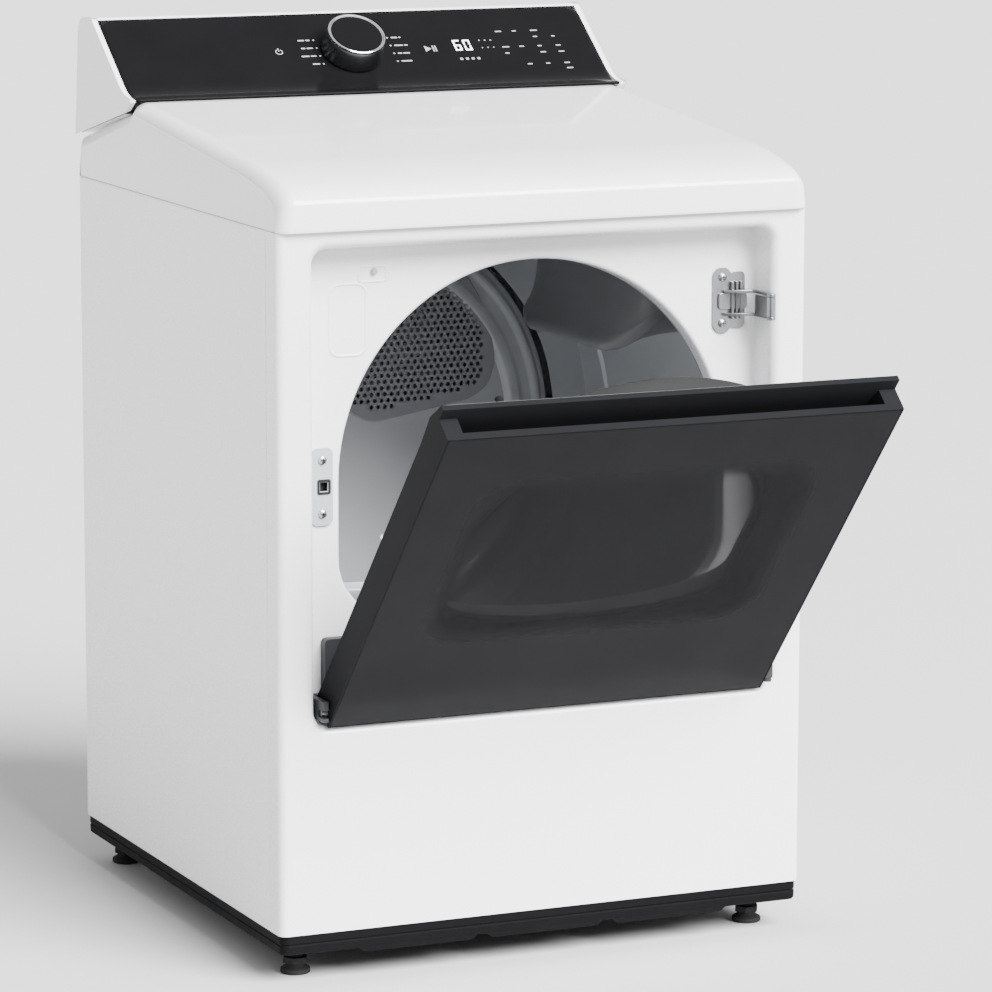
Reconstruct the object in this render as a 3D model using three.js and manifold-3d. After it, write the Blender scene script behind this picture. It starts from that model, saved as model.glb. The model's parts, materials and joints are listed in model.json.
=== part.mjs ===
// Clothes dryer with a sloped top, a rear console and a door that tilts open like a hamper
// or swings open to the right. Millimetres, +Z up, the front faces -Y. While it is built, the front
// panel's face is the plane Y = 0, the cabinet's middle is X = 0 and the floor is Z = 0.

import * as THREE from 'three';
import { mergeVertices } from 'three/addons/utils/BufferGeometryUtils.js';
import Module from 'manifold-3d';

const wasm = await Module();
wasm.setup();

// ---------- Driving dimensions ----------

// Cabinet
const WIDTH = 686;
const DEPTH = 690;
const BODY_TOP = 894;
const BODY_BOTTOM = 61;
const CORNER = 10;
const WRAP = 37;
const SHEET = 1;
const GAP = 0.4;

// Base and feet
const BASE_BOTTOM = 37;
const BASE_INSET = 2;
const BASE_FLOOR = 3.5;
const SKIRT = 4;
const LOBE_DROP = 5;
const FOOT_INSET_X = 42;
const FOOT_INSET_FRONT = 61;
const FOOT_INSET_REAR = 37;
const FOOT_PAD_RADIUS = 18;
const FOOT_NECK_RADIUS = 14;
const FOOT_STEM_RADIUS = 8;
const FOOT_STEM_TOP = 52;

// Door recess in the front panel and the opening into the drum
const RECESS_HALF = 297;
const RECESS_LOW = 309;
const RECESS_HIGH = 872;
const RECESS_RIM = 12;
const RECESS_RADIUS = 18;
const RECESS_DEPTH = 50;
const OPENING_RADIUS = 252;
const OPENING_Z = 590;
const OPENING_STRAIGHT = 95;
const OPENING_LOWER = 120;
const OPENING_LIP = 22;

// Drum
const DRUM_X = 6;
const DRUM_Z = 562;
const DRUM_RADIUS = 321.5;
const DRUM_FRONT = 116;
const DRUM_REAR = 590;
const DRUM_SHEET = 1.1;
const DRUM_RIB = 4;
const DRUM_FRONT_RADIUS = 300;
const DRUM_REAR_RADIUS = 272;
const BAFFLE_HEIGHT = 102;
const BAFFLE_WALL = 3;
const BAFFLE_COUNT = 3;
const BAFFLE_ANGLE = 41;
const ROLLER_RADIUS = 35;
const ROLLER_WIDTH = 22;
const ROLLER_ANGLE = 35;
const AXLE_RADIUS = 6;

// Door, sized where it lies closed
const DOOR_HALF = 284;
const DOOR_HEIGHT = 528;
const DOOR_THICKNESS = 46;
const DOOR_TILT = 41.8;
const DOOR_WALL = 6;
const PIVOT_Y = -1.6;
const PIVOT_Z = 327.3;
const PIVOT_INSET = 14;
const PIVOT_RISE = 12;
const PIN_RADIUS = 4;
const GLASS = 4;
const POCKET_DEPTH = 42;
const POCKET_WIDTH = 25;
const LIP_RISE = 15.5;
const PLUG_INSET = 14;
const PLUG_REACH = 42;

// Hinges and latch
const SWING_X = 290;
const SWING_Y = -10;
const UPPER_HINGE_Z = 777;
const KNUCKLE_RADIUS = 5.4;
const HINGE_PIN_RADIUS = 2.5;
const RUNNING_GAP = 0.3;
const LATCH_X = -267;
const LATCH_Z = 586.6;
const SWITCH_X = -202;
const SWITCH_Z = 838;

// Top cover and console
const COVER_SHEET = 1.2;
const COVER_OVERHANG = 7;
const COVER_REAR = 8;
const COVER_FASCIA = 31;
const COVER_CREST_Y = 503;
const COVER_CREST_Z = 1000;
const COVER_REAR_Z = 943;
const COVER_DRAFT = 10;
const CONSOLE_TOP = 1096;
const CONSOLE_HALF = 331;
const CAP_THICKNESS = 8;
const CONSOLE_GLASS = 4;
const KNOB_X = -11;
const KNOB_RADIUS = 37;
const KNOB_HEIGHT = 32;
const KNOB_ALONG = 78;

// Drive train under the drum
const MOTOR_X = 150;
const MOTOR_Z = 155;
const MOTOR_RADIUS = 62;
const SHAFT_RADIUS = 8;
const PULLEY_RADIUS = 11;
const BELT_Y = 403;
const BELT_WIDTH = 10;
const BELT_THICKNESS = 2.5;
const IDLER_X = 20;
const IDLER_Z = 190;
const IDLER_RADIUS = 22;
const ARM_X = -40;
const ARM_Z = 120;
const BLOWER_RADIUS = 90;
const BLOWER_FRONT = 101;
const BLOWER_REAR = 170;
const DUCT_X = -185;
const DUCT_Z = 118;
const DUCT_RADIUS = 50;
const DUCT_OUT = 10;
const FILTER_HALF = 98;
const FILTER_FRONT = 84;
const FILTER_THICKNESS = 12;
const BULKHEAD_Y = 104;
const REAR_BULKHEAD_Y = 626;

// Values worked out from the ones above
const HALF = WIDTH / 2;
const DOOR_FRONT = PIVOT_Y - PIVOT_INSET;
const DOOR_BOTTOM = PIVOT_Z - PIVOT_RISE;
const DOOR_TOP = DOOR_BOTTOM + DOOR_HEIGHT;
const DOOR_REAR = DOOR_FRONT + DOOR_THICKNESS;
const OPENING_LOW = OPENING_Z - OPENING_STRAIGHT - OPENING_LOWER;
const PLUG_REAR = DOOR_REAR + PLUG_REACH;

// ---------- Finishes ----------

const finish = (color, roughness, metalness) => ({ color, roughness, metalness });
const FINISHES = {
  white: finish(0xf1f1f2, 0.3, 0.0),
  base: finish(0x232324, 0.6, 0.0),
  charcoal: finish(0x2b2b2d, 0.4, 0.0),
  glass: finish(0x141416, 0.08, 0.0),
  steel: finish(0xb4b6b8, 0.35, 0.9),
  chrome: finish(0xd0d2d4, 0.15, 1.0),
  drum: finish(0x9a9da0, 0.4, 0.7),
  galvanised: finish(0x9fa3a6, 0.5, 0.8),
  aluminium: finish(0xa9abad, 0.5, 0.8),
  shell: finish(0xf1f1f2, 0.35, 0.0),
  plastic: finish(0x4a4b4e, 0.5, 0.0),
  rubber: finish(0x1b1b1b, 0.9, 0.0),
  board: finish(0x2c5a3a, 0.6, 0.0),
};

// ---------- Solids ----------

// A closed triangle mesh: shared vertices merged, collapsed triangles dropped, faces turned outwards.
function closed(geometry) {
  const bare = geometry.clone();
  bare.deleteAttribute('normal');
  bare.deleteAttribute('uv');
  const merged = mergeVertices(bare, 1e-3);
  const index = [];
  const faces = merged.index.array;
  for (let i = 0; i < faces.length; i += 3) {
    const [a, b, c] = [faces[i], faces[i + 1], faces[i + 2]];
    if (a !== b && b !== c && a !== c) index.push(a, b, c);
  }
  merged.setIndex(volume(merged.attributes.position, index) < 0 ? index.reverse() : index);
  return merged;
}

function volume(position, index) {
  const corner = [new THREE.Vector3(), new THREE.Vector3(), new THREE.Vector3()];
  let total = 0;
  for (let i = 0; i < index.length; i += 3) {
    corner.forEach((point, k) => point.fromBufferAttribute(position, index[i + k]));
    total += corner[0].dot(corner[1].clone().cross(corner[2]));
  }
  return total;
}

function toManifold(geometry) {
  const mesh = closed(geometry);
  return new wasm.Manifold(new wasm.Mesh({
    numProp: 3,
    vertProperties: new Float32Array(mesh.attributes.position.array),
    triVerts: new Uint32Array(mesh.index.array),
  }));
}

function fromManifold(solid) {
  const mesh = solid.getMesh();
  const geometry = new THREE.BufferGeometry();
  geometry.setAttribute('position', new THREE.BufferAttribute(mesh.vertProperties, 3));
  geometry.setIndex(Array.from(mesh.triVerts));
  return geometry;
}

function join(first, ...others) {
  return fromManifold(others.reduce((sum, part) => sum.add(toManifold(part)), toManifold(first)));
}

function cut(body, ...tools) {
  return fromManifold(tools.reduce((rest, tool) => rest.subtract(toManifold(tool)), toManifold(body)));
}

function keep(body, ...bounds) {
  return fromManifold(bounds.reduce((rest, bound) => rest.intersect(toManifold(bound)), toManifold(body)));
}

function box(x0, x1, y0, y1, z0, z1) {
  const block = new THREE.BoxGeometry(x1 - x0, y1 - y0, z1 - z0);
  return block.translate((x0 + x1) / 2, (y0 + y1) / 2, (z0 + z1) / 2);
}

// A shape drawn in X and Z, from y0 to y1.
function alongY(shape, y0, y1, curveSegments = 8) {
  const body = new THREE.ExtrudeGeometry(shape, { depth: y1 - y0, bevelEnabled: false, curveSegments });
  return body.rotateX(Math.PI / 2).translate(0, y1, 0);
}

// A shape drawn in X and Y, from z0 to z1.
function alongZ(shape, z0, z1, curveSegments = 6) {
  const body = new THREE.ExtrudeGeometry(shape, { depth: z1 - z0, bevelEnabled: false, curveSegments });
  return body.translate(0, 0, z0);
}

// A shape drawn in Y and Z, from x0 to x1.
function alongX(shape, x0, x1, curveSegments = 6) {
  const body = new THREE.ExtrudeGeometry(shape, { depth: x1 - x0, bevelEnabled: false, curveSegments });
  const turn = new THREE.Matrix4().makeBasis(
    new THREE.Vector3(0, 1, 0), new THREE.Vector3(0, 0, 1), new THREE.Vector3(1, 0, 0));
  return body.applyMatrix4(turn).translate(x0, 0, 0);
}

function polygon(points) {
  return new THREE.Shape(points.map(([u, v]) => new THREE.Vector2(u, v)));
}

function roundedRect(u0, u1, v0, v1, r) {
  const shape = new THREE.Shape();
  shape.moveTo(u0 + r, v0);
  shape.lineTo(u1 - r, v0);
  shape.absarc(u1 - r, v0 + r, r, -Math.PI / 2, 0, false);
  shape.lineTo(u1, v1 - r);
  shape.absarc(u1 - r, v1 - r, r, 0, Math.PI / 2, false);
  shape.lineTo(u0 + r, v1);
  shape.absarc(u0 + r, v1 - r, r, Math.PI / 2, Math.PI, false);
  shape.lineTo(u0, v0 + r);
  shape.absarc(u0 + r, v0 + r, r, Math.PI, Math.PI * 1.5, false);
  return shape;
}

function disc(u, v, r) {
  return new THREE.Shape().absarc(u, v, r, 0, Math.PI * 2, false);
}

// A turned body about an axis along Y through (x, z); the profile holds [radius, y] pairs.
function turnedY(profile, x, z, segments = 32) {
  const points = profile.map(([r, y]) => new THREE.Vector2(r, y));
  return new THREE.LatheGeometry(points, segments).translate(x, 0, z);
}

function rodY(x, z, r, y0, y1, segments = 20) {
  return turnedY([[0, y0], [r, y0], [r, y1], [0, y1]], x, z, segments);
}

// A turned body about an axis along Z through (x, y); the profile holds [radius, z] pairs.
function turnedZ(profile, x, y, segments = 20) {
  const points = profile.map(([r, z]) => new THREE.Vector2(r, z));
  return new THREE.LatheGeometry(points, segments).rotateX(Math.PI / 2).translate(x, y, 0);
}

function rodZ(x, y, r, z0, z1, segments = 16) {
  return turnedZ([[0, z0], [r, z0], [r, z1], [0, z1]], x, y, segments);
}

function rodX(y, z, r, x0, x1, segments = 16) {
  return new THREE.CylinderGeometry(r, r, x1 - x0, segments).rotateZ(Math.PI / 2).translate((x0 + x1) / 2, y, z);
}

// A strip of even thickness on the left of a path of [u, v] points.
function ribbon(path, thickness) {
  const points = path.map(([u, v]) => new THREE.Vector2(u, v));
  const sides = points.slice(1).map((p, i) => {
    const along = p.clone().sub(points[i]).normalize();
    return new THREE.Vector2(-along.y, along.x);
  });
  const offset = points.map((p, i) => {
    const before = sides[Math.max(i - 1, 0)];
    const after = sides[Math.min(i, sides.length - 1)];
    const middle = before.clone().add(after).normalize();
    return p.clone().addScaledVector(middle, thickness / middle.dot(after));
  });
  return new THREE.Shape([...points, ...offset.reverse()]);
}

// Skins a closed chain of rings, each with the same number of points.
function ringLoft(rings) {
  const count = rings[0].length;
  const position = rings.flat().flatMap((p) => [p.x, p.y, p.z]);
  const index = [];
  rings.forEach((ring, i) => {
    const next = ((i + 1) % rings.length) * count;
    for (let k = 0; k < count; k += 1) {
      const a = i * count + k;
      const b = i * count + ((k + 1) % count);
      const c = next + k;
      const d = next + ((k + 1) % count);
      index.push(a, b, d, a, d, c);
    }
  });
  const geometry = new THREE.BufferGeometry();
  geometry.setAttribute('position', new THREE.Float32BufferAttribute(position, 3));
  geometry.setIndex(index);
  return geometry;
}

// ---------- Rings of the pressed sheets ----------

const CORNER_STEPS = 3;
const SIDE_STEPS = 5;

// A rounded rectangle in X and Z at depth y.
function rectRing(half, low, high, radius, y) {
  const centres = [
    [half - radius, high - radius, 0],
    [-half + radius, high - radius, 1],
    [-half + radius, low + radius, 2],
    [half - radius, low + radius, 3],
  ];
  const corners = centres.map(([x, z, quarter]) => {
    const points = [];
    for (let k = 0; k <= CORNER_STEPS; k += 1) {
      const angle = (quarter + k / CORNER_STEPS) * (Math.PI / 2);
      points.push(new THREE.Vector3(x + radius * Math.cos(angle), y, z + radius * Math.sin(angle)));
    }
    return points;
  });
  return corners.flatMap((corner, i) => {
    const end = corner[corner.length - 1];
    const next = corners[(i + 1) % 4][0];
    const between = [];
    for (let k = 1; k < SIDE_STEPS; k += 1) between.push(end.clone().lerp(next, k / SIDE_STEPS));
    return [...corner, ...between];
  });
}

// The directions from the opening's centre that the rings' points share.
const RING_ANGLES = rectRing(RECESS_HALF, RECESS_LOW, RECESS_HIGH, RECESS_RADIUS, 0)
  .map((p) => Math.atan2(p.z - OPENING_Z, p.x));

// The opening into the drum, grown by `grow`: round above, straight at the sides, a half ellipse below.
function openingReach(angle, grow) {
  const across = OPENING_RADIUS + grow;
  const lower = OPENING_LOWER + grow;
  const [c, s] = [Math.cos(angle), Math.sin(angle)];
  if (s >= 0) return across;
  if (Math.abs(c) > 1e-6 && -s * across / Math.abs(c) <= OPENING_STRAIGHT) return across / Math.abs(c);
  const p = (c / across) ** 2 + (s / lower) ** 2;
  const q = (s * OPENING_STRAIGHT) / lower ** 2;
  const r = (OPENING_STRAIGHT / lower) ** 2 - 1;
  return (-q + Math.sqrt(q * q - p * r)) / p;
}

function openingRing(grow, y) {
  return RING_ANGLES.map((angle) => {
    const reach = openingReach(angle, grow);
    return new THREE.Vector3(DRUM_X + reach * Math.cos(angle), y, OPENING_Z + reach * Math.sin(angle));
  });
}

function circleRing(radius, y) {
  return RING_ANGLES.map((angle) => new THREE.Vector3(
    DRUM_X + radius * Math.cos(angle), y, DRUM_Z + radius * Math.sin(angle)));
}

// A sheet of even thickness over a profile of stations [ring family, inset, y] that runs from the outside
// in. The family's function turns an inset towards the middle and a depth into a ring. The sheet's back is
// behind a flat part, in +Y, or in front of it where the thickness is negative.
function pressedSheet(stations, thickness) {
  const families = [...new Set(stations.map(([family]) => family))];
  const places = stations.map(([family, inset, y]) => new THREE.Vector2(families.indexOf(family) * 1e4 + inset, y));
  const sides = places.slice(1).map((p, i) => {
    const along = p.clone().sub(places[i]).normalize();
    return new THREE.Vector2(-along.y, along.x);
  });
  const back = stations.map(([family, inset, y], i) => {
    const before = sides[Math.max(i - 1, 0)];
    const after = sides[Math.min(i, sides.length - 1)];
    const middle = before.clone().add(after).normalize();
    const shift = thickness / middle.dot(after);
    return family(inset + middle.x * shift, y + middle.y * shift);
  });
  return ringLoft([...stations.map(([family, inset, y]) => family(inset, y)), ...back.reverse()]);
}

// Steps of a quarter turn, from 0 to 90 degrees.
function quarter(steps, place) {
  const found = [];
  for (let k = 0; k <= steps; k += 1) found.push(place((k / steps) * (Math.PI / 2)));
  return found;
}

// ---------- The assembly ----------

const dryer = new THREE.Group();
const door = new THREE.Group();

function add(name, geometry, look, parent = dryer) {
  const material = new THREE.MeshStandardMaterial({ ...FINISHES[look] });
  const mesh = new THREE.Mesh(closed(geometry), material);
  mesh.name = name;
  parent.add(mesh);
}

// ---------- Base and feet ----------

const FEET = {
  front_left: [-1, FOOT_INSET_FRONT],
  front_right: [1, FOOT_INSET_FRONT],
  rear_left: [-1, DEPTH - FOOT_INSET_REAR],
  rear_right: [1, DEPTH - FOOT_INSET_REAR],
};
const FOOT_X = HALF - FOOT_INSET_X;
const BOSS = 26;

function baseTray() {
  const half = HALF - BASE_INSET;
  const top = BODY_BOTTOM - GAP;
  const rear = DEPTH - BASE_INSET;
  const skirt = alongZ(roundedRect(-half, half, BASE_INSET, rear, CORNER), BASE_BOTTOM, top);
  const inside = box(-half + SKIRT, half - SKIRT, BASE_INSET + SKIRT, rear - SKIRT, 0, top - BASE_FLOOR);
  const lobes = [-1, 0, 1].map((side) => {
    const middle = side * (HALF - FOOT_INSET_X) * 0.55;
    const outline = polygon([
      [middle - 78, BASE_BOTTOM + 2], [middle - 70, BASE_BOTTOM - LOBE_DROP],
      [middle + 70, BASE_BOTTOM - LOBE_DROP], [middle + 78, BASE_BOTTOM + 2],
    ]);
    return alongY(outline, BASE_INSET + 0.5, BASE_INSET + SKIRT - 0.5);
  });
  const bosses = Object.values(FEET).map(([side, y]) =>
    box(side * FOOT_X - BOSS, side * FOOT_X + BOSS, y - BOSS, y + BOSS, BASE_BOTTOM - 2, top - 1));
  const holes = Object.values(FEET).map(([side, y]) =>
    rodZ(side * FOOT_X, y, FOOT_STEM_RADIUS + GAP, 0, FOOT_STEM_TOP + GAP));
  return cut(join(cut(skirt, inside), ...lobes, ...bosses), ...holes);
}

function foot(side, y) {
  const neckTop = BASE_BOTTOM - 2 - GAP;
  const profile = [
    [0, 0], [FOOT_PAD_RADIUS - 2, 0], [FOOT_PAD_RADIUS, 2], [FOOT_PAD_RADIUS, 6], [FOOT_NECK_RADIUS, 10],
    [FOOT_NECK_RADIUS, neckTop], [FOOT_STEM_RADIUS, neckTop], [FOOT_STEM_RADIUS, FOOT_STEM_TOP],
    [0, FOOT_STEM_TOP],
  ];
  return turnedZ(profile, side * FOOT_X, y, 16);
}

function buildBase() {
  add('base_tray', baseTray(), 'base');
  for (const [place, [side, y]] of Object.entries(FEET)) add(`foot_${place}`, foot(side, y), 'rubber');
}

// ---------- Cabinet ----------

const PANEL_TOP = BODY_TOP - GAP;
const rimRing = (inset, y) => rectRing(RECESS_HALF + RECESS_RIM - inset, RECESS_LOW - RECESS_RIM + inset,
  RECESS_HIGH + RECESS_RIM - inset, RECESS_RADIUS + RECESS_RIM - inset, y);
const openRing = (inset, y) => openingRing(-inset, y);
const FLOOR_FILLET = 8;
const LIP_ROUND = 4;
const LATCH_HOLE = 10;
const FLANGE = 12;

// A ring's points as a flat outline in X and Z.
function flat(ring, Kind = THREE.Shape) {
  return new Kind(ring.map((p) => new THREE.Vector2(p.x, p.z)));
}

function frontPanel() {
  const wrap = [
    [-HALF, WRAP],
    ...quarter(3, (t) => [-HALF + CORNER * (1 - Math.cos(t)), CORNER * (1 - Math.sin(t))]),
    ...quarter(3, (t) => [HALF - CORNER * (1 - Math.sin(t)), CORNER * (1 - Math.cos(t))]),
    [HALF, WRAP],
  ];
  const skin = alongZ(ribbon(wrap, SHEET), BODY_BOTTOM, PANEL_TOP);
  const edge = HALF - CORNER - FLANGE;
  const flanges = [[BODY_BOTTOM, BODY_BOTTOM + SHEET], [PANEL_TOP - SHEET, PANEL_TOP]].map(([low, high]) =>
    box(-edge, edge, SHEET / 2, FLANGE, low, high));
  const stations = [
    [rimRing, -3, 0],
    ...quarter(3, (t) => [rimRing, RECESS_RIM * Math.sin(t), RECESS_RIM * (1 - Math.cos(t))]),
    ...quarter(2, (t) => [rimRing, RECESS_RIM + FLOOR_FILLET * (1 - Math.cos(t)),
      RECESS_DEPTH - FLOOR_FILLET * (1 - Math.sin(t))]),
    ...quarter(2, (t) => [openRing, LIP_ROUND * (Math.sin(t) - 1), RECESS_DEPTH + LIP_ROUND * (1 - Math.cos(t))]),
    [openRing, 0, RECESS_DEPTH + OPENING_LIP],
  ];
  const doorway = alongY(flat(rimRing(-1.5, 0)), -20, 20);
  const latchHole = box(LATCH_X - LATCH_HOLE, LATCH_X + LATCH_HOLE, RECESS_DEPTH - 2, RECESS_DEPTH + 6,
    LATCH_Z - LATCH_HOLE, LATCH_Z + LATCH_HOLE);
  const switchHole = rodY(SWITCH_X, SWITCH_Z, 5, RECESS_DEPTH - 2, RECESS_DEPTH + 6, 12);
  return cut(join(cut(skin, doorway), pressedSheet(stations, SHEET), ...flanges), latchHole, switchHole);
}

function sidePanel(side) {
  const tuck = HALF - SHEET - GAP;
  const path = [
    [tuck, WRAP - 13], [tuck, WRAP + GAP], [HALF, WRAP + GAP + 1],
    ...quarter(3, (t) => [HALF - CORNER * (1 - Math.cos(t)), DEPTH - CORNER * (1 - Math.sin(t))]),
    [HALF - 30, DEPTH],
  ];
  const mirrored = path.map(([x, y]) => [side * x, y]);
  return alongZ(ribbon(side > 0 ? mirrored : mirrored.reverse(), SHEET), BODY_BOTTOM, PANEL_TOP);
}

function rearPanel() {
  const half = HALF - CORNER;
  const sheet = polygon([[-half, BODY_BOTTOM], [half, BODY_BOTTOM], [half, PANEL_TOP], [-half, PANEL_TOP]]);
  sheet.holes.push(disc(DUCT_X, DUCT_Z, DUCT_RADIUS + 3));
  for (const column of [-1, 1]) {
    for (let row = 0; row < 6; row += 1) {
      const x = column * 240;
      const z = 330 + row * 30;
      sheet.holes.push(polygon([[x - 45, z + 4], [x - 41, z], [x + 41, z], [x + 45, z + 4], [x + 41, z + 8],
        [x - 41, z + 8]]));
    }
  }
  return alongY(sheet, DEPTH - 2 * SHEET - GAP, DEPTH - SHEET - GAP, 10);
}

function buildCabinet() {
  add('front_panel', frontPanel(), 'white');
  add('side_panel_left', sidePanel(-1), 'white');
  add('side_panel_right', sidePanel(1), 'white');
  add('rear_panel', rearPanel(), 'galvanised');
  const shell = box(240, 310, DEPTH - SHEET, DEPTH + 9, 770, 860);
  const cordHole = rodZ(275, DEPTH + 3.5, 3.4, 760, 790, 12);
  add('terminal_block', cut(shell, cordHole), 'galvanised');
}

// ---------- Top cover ----------

// The cover's side outline in Y and Z, drawn in by `inset`.
function coverOutline(inset) {
  const front = -COVER_OVERHANG + inset;
  const shoulder = BODY_TOP + COVER_FASCIA;
  const shape = new THREE.Shape();
  shape.moveTo(front, BODY_TOP);
  shape.lineTo(front, shoulder - inset);
  shape.bezierCurveTo(front + 2, shoulder + 18 - inset, front + 55, shoulder + 30 - inset,
    front + 120, shoulder + 38 - inset);
  shape.lineTo(COVER_CREST_Y, COVER_CREST_Z - inset);
  shape.lineTo(COVER_CREST_Y + 14, COVER_CREST_Z - 12 - inset);
  shape.lineTo(DEPTH + COVER_REAR - inset, COVER_REAR_Z - inset);
  shape.lineTo(DEPTH + COVER_REAR - inset, BODY_TOP);
  return shape;
}

// The height of the cover's rear slope at a depth.
function coverRearAt(y) {
  const start = [COVER_CREST_Y + 14, COVER_CREST_Z - 12];
  return start[1] - (start[1] - COVER_REAR_Z) * (y - start[0]) / (DEPTH + COVER_REAR - start[0]);
}

function coverBlock(inset) {
  const half = HALF - 1 - inset;
  const top = half - COVER_DRAFT;
  const [rear, high] = [DEPTH + COVER_REAR - inset, COVER_CREST_Z + 20];
  const ends = polygon([[-half, BODY_TOP], [half, BODY_TOP], [half, BODY_TOP + 10], [top, high],
    [-top, high], [-half, BODY_TOP + 10]]);
  const plan = roundedRect(-HALF, HALF, -COVER_OVERHANG + inset, rear, CORNER + 2);
  return keep(alongX(coverOutline(inset), -half, half, 8), alongY(ends, -50, DEPTH + 50),
    alongZ(plan, BODY_TOP, high, 4));
}

function topCover() {
  const hollow = coverBlock(COVER_SHEET);
  const deck = box(-HALF, HALF, -50, DEPTH + 50, BODY_TOP - 1, BODY_TOP);
  return cut(coverBlock(0), join(hollow, deck));
}

// ---------- Console ----------

// The glass's front face in Y and Z: a forward flare at the foot and a straight slope above it.
const GLASS_FOOT = [COVER_CREST_Y - 1, COVER_CREST_Z + CONSOLE_GLASS + 1];
const GLASS_HEAD = [DEPTH - 50, CONSOLE_TOP - 4];
const SHELL_BACK = [[DEPTH - 30, CONSOLE_TOP - 3], [DEPTH + 4, CONSOLE_TOP - 32], [DEPTH + 16, COVER_REAR_Z + 3]];
const SLOPE_START = [546, 1021];

function glassPath() {
  const flare = new THREE.QuadraticBezierCurve(
    new THREE.Vector2(...GLASS_FOOT), new THREE.Vector2(526, 1006), new THREE.Vector2(...SLOPE_START));
  return [...flare.getPoints(5).map((p) => [p.x, p.y]), GLASS_HEAD];
}

function consoleOutline() {
  return polygon([...glassPath(), [GLASS_HEAD[0] + 6, CONSOLE_TOP], ...SHELL_BACK,
    [COVER_CREST_Y + 15, COVER_CREST_Z - 11.2], [COVER_CREST_Y, COVER_CREST_Z + 1]]);
}

const slope = new THREE.Vector2(GLASS_HEAD[0] - SLOPE_START[0], GLASS_HEAD[1] - SLOPE_START[1]);
const SLOPE_ANGLE = Math.atan2(slope.y, slope.x);

// Places a body built round the Z axis, standing on the glass, at the knob's centre.
function onGlass(geometry, x, along, sink = 0) {
  const reach = along - 34;
  const y = SLOPE_START[0] + Math.cos(SLOPE_ANGLE) * reach;
  const z = SLOPE_START[1] + Math.sin(SLOPE_ANGLE) * reach;
  return geometry.rotateX(SLOPE_ANGLE).translate(x, y + sink * Math.sin(SLOPE_ANGLE), z - sink * Math.cos(SLOPE_ANGLE));
}

function consoleGlass() {
  const strip = ribbon(glassPath().reverse(), CONSOLE_GLASS);
  const half = CONSOLE_HALF - GAP;
  return cut(alongX(strip, -half, half), onGlass(rodZ(0, 0, 9, -20, 20), KNOB_X, KNOB_ALONG));
}

function consoleHousing() {
  const half = CONSOLE_HALF - GAP;
  const foot = COVER_CREST_Y + 40;
  const path = [[GLASS_HEAD[0] + 4, CONSOLE_TOP - 2], ...SHELL_BACK, [foot, coverRearAt(foot) + 1.464]];
  return alongX(ribbon(path.reverse(), 2), -half, half);
}

function knobRim() {
  const profile = [[0, -14], [6, -14], [6, 1], [KNOB_RADIUS + 3, 1], [KNOB_RADIUS + 3, 8],
    [KNOB_RADIUS, KNOB_HEIGHT], [KNOB_RADIUS - 4, KNOB_HEIGHT], [KNOB_RADIUS - 5, KNOB_HEIGHT - 4],
    [0, KNOB_HEIGHT - 4]];
  return onGlass(turnedZ(profile, 0, 0, 32), KNOB_X, KNOB_ALONG);
}

function knobCap() {
  const r = KNOB_RADIUS - 5 - GAP;
  const base = KNOB_HEIGHT - 4 + GAP;
  const cap = turnedZ([[0, base], [r, base], [r, base + 2.4], [r - 4, base + 3.4], [0, base + 3.4]], 0, 0, 32);
  return onGlass(cap, KNOB_X, KNOB_ALONG);
}

function buildConsole() {
  add('top_cover', topCover(), 'white');
  add('console_housing', consoleHousing(), 'shell');
  const outline = consoleOutline();
  add('console_end_cap_left', alongX(outline, -CONSOLE_HALF - CAP_THICKNESS, -CONSOLE_HALF), 'shell');
  add('console_end_cap_right', alongX(outline, CONSOLE_HALF, CONSOLE_HALF + CAP_THICKNESS), 'shell');
  add('console_glass', consoleGlass(), 'glass');
  add('knob_rim', knobRim(), 'chrome');
  add('knob_cap', knobCap(), 'glass');
  const encoder = turnedZ([[7, -8], [14, -8], [14, -22], [7, -22], [7, -8]], 0, 0, 16);
  add('knob_encoder', onGlass(encoder, KNOB_X, KNOB_ALONG), 'plastic');
  const board = box(-180, 250, -34, 26, -26, -24);
  add('control_board', onGlass(board, 0, KNOB_ALONG), 'board');
  const display = box(125, 200, -14, 14, -23, -6);
  add('display_module', onGlass(display, 0, KNOB_ALONG), 'plastic');
}

// ---------- Hinges, latch and switch ----------

const ARM_HEIGHT = 4;
const ARM_SPREAD = 14;

function upperHingeBracket() {
  const [left, right] = [SWING_X - 49, SWING_X - 7];
  const [low, high] = [UPPER_HINGE_Z - 36, UPPER_HINGE_Z + 45];
  const plate = alongY(roundedRect(left, right, low, high, 14), RECESS_DEPTH - 12, RECESS_DEPTH - GAP, 4);
  const reach = [[left + 10, RECESS_DEPTH - 8], [left + 24, RECESS_DEPTH - 14], [left + 38, RECESS_DEPTH - 17],
    [SWING_X - 5, RECESS_DEPTH - 18], [SWING_X - 3, RECESS_DEPTH - 22], [SWING_X - 3, SWING_Y]];
  const arms = [-1, 1].map((side) => {
    const z = UPPER_HINGE_Z + side * ARM_SPREAD;
    const strip = alongZ(ribbon(reach, 6), z - ARM_HEIGHT / 2, z + ARM_HEIGHT / 2);
    const eye = rodZ(SWING_X, SWING_Y, KNUCKLE_RADIUS, z - ARM_HEIGHT / 2, z + ARM_HEIGHT / 2);
    return join(strip, eye);
  });
  const pin = rodZ(SWING_X, SWING_Y, HINGE_PIN_RADIUS, UPPER_HINGE_Z - ARM_SPREAD, UPPER_HINGE_Z + ARM_SPREAD, 12);
  return join(plate, ...arms, pin);
}

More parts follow.
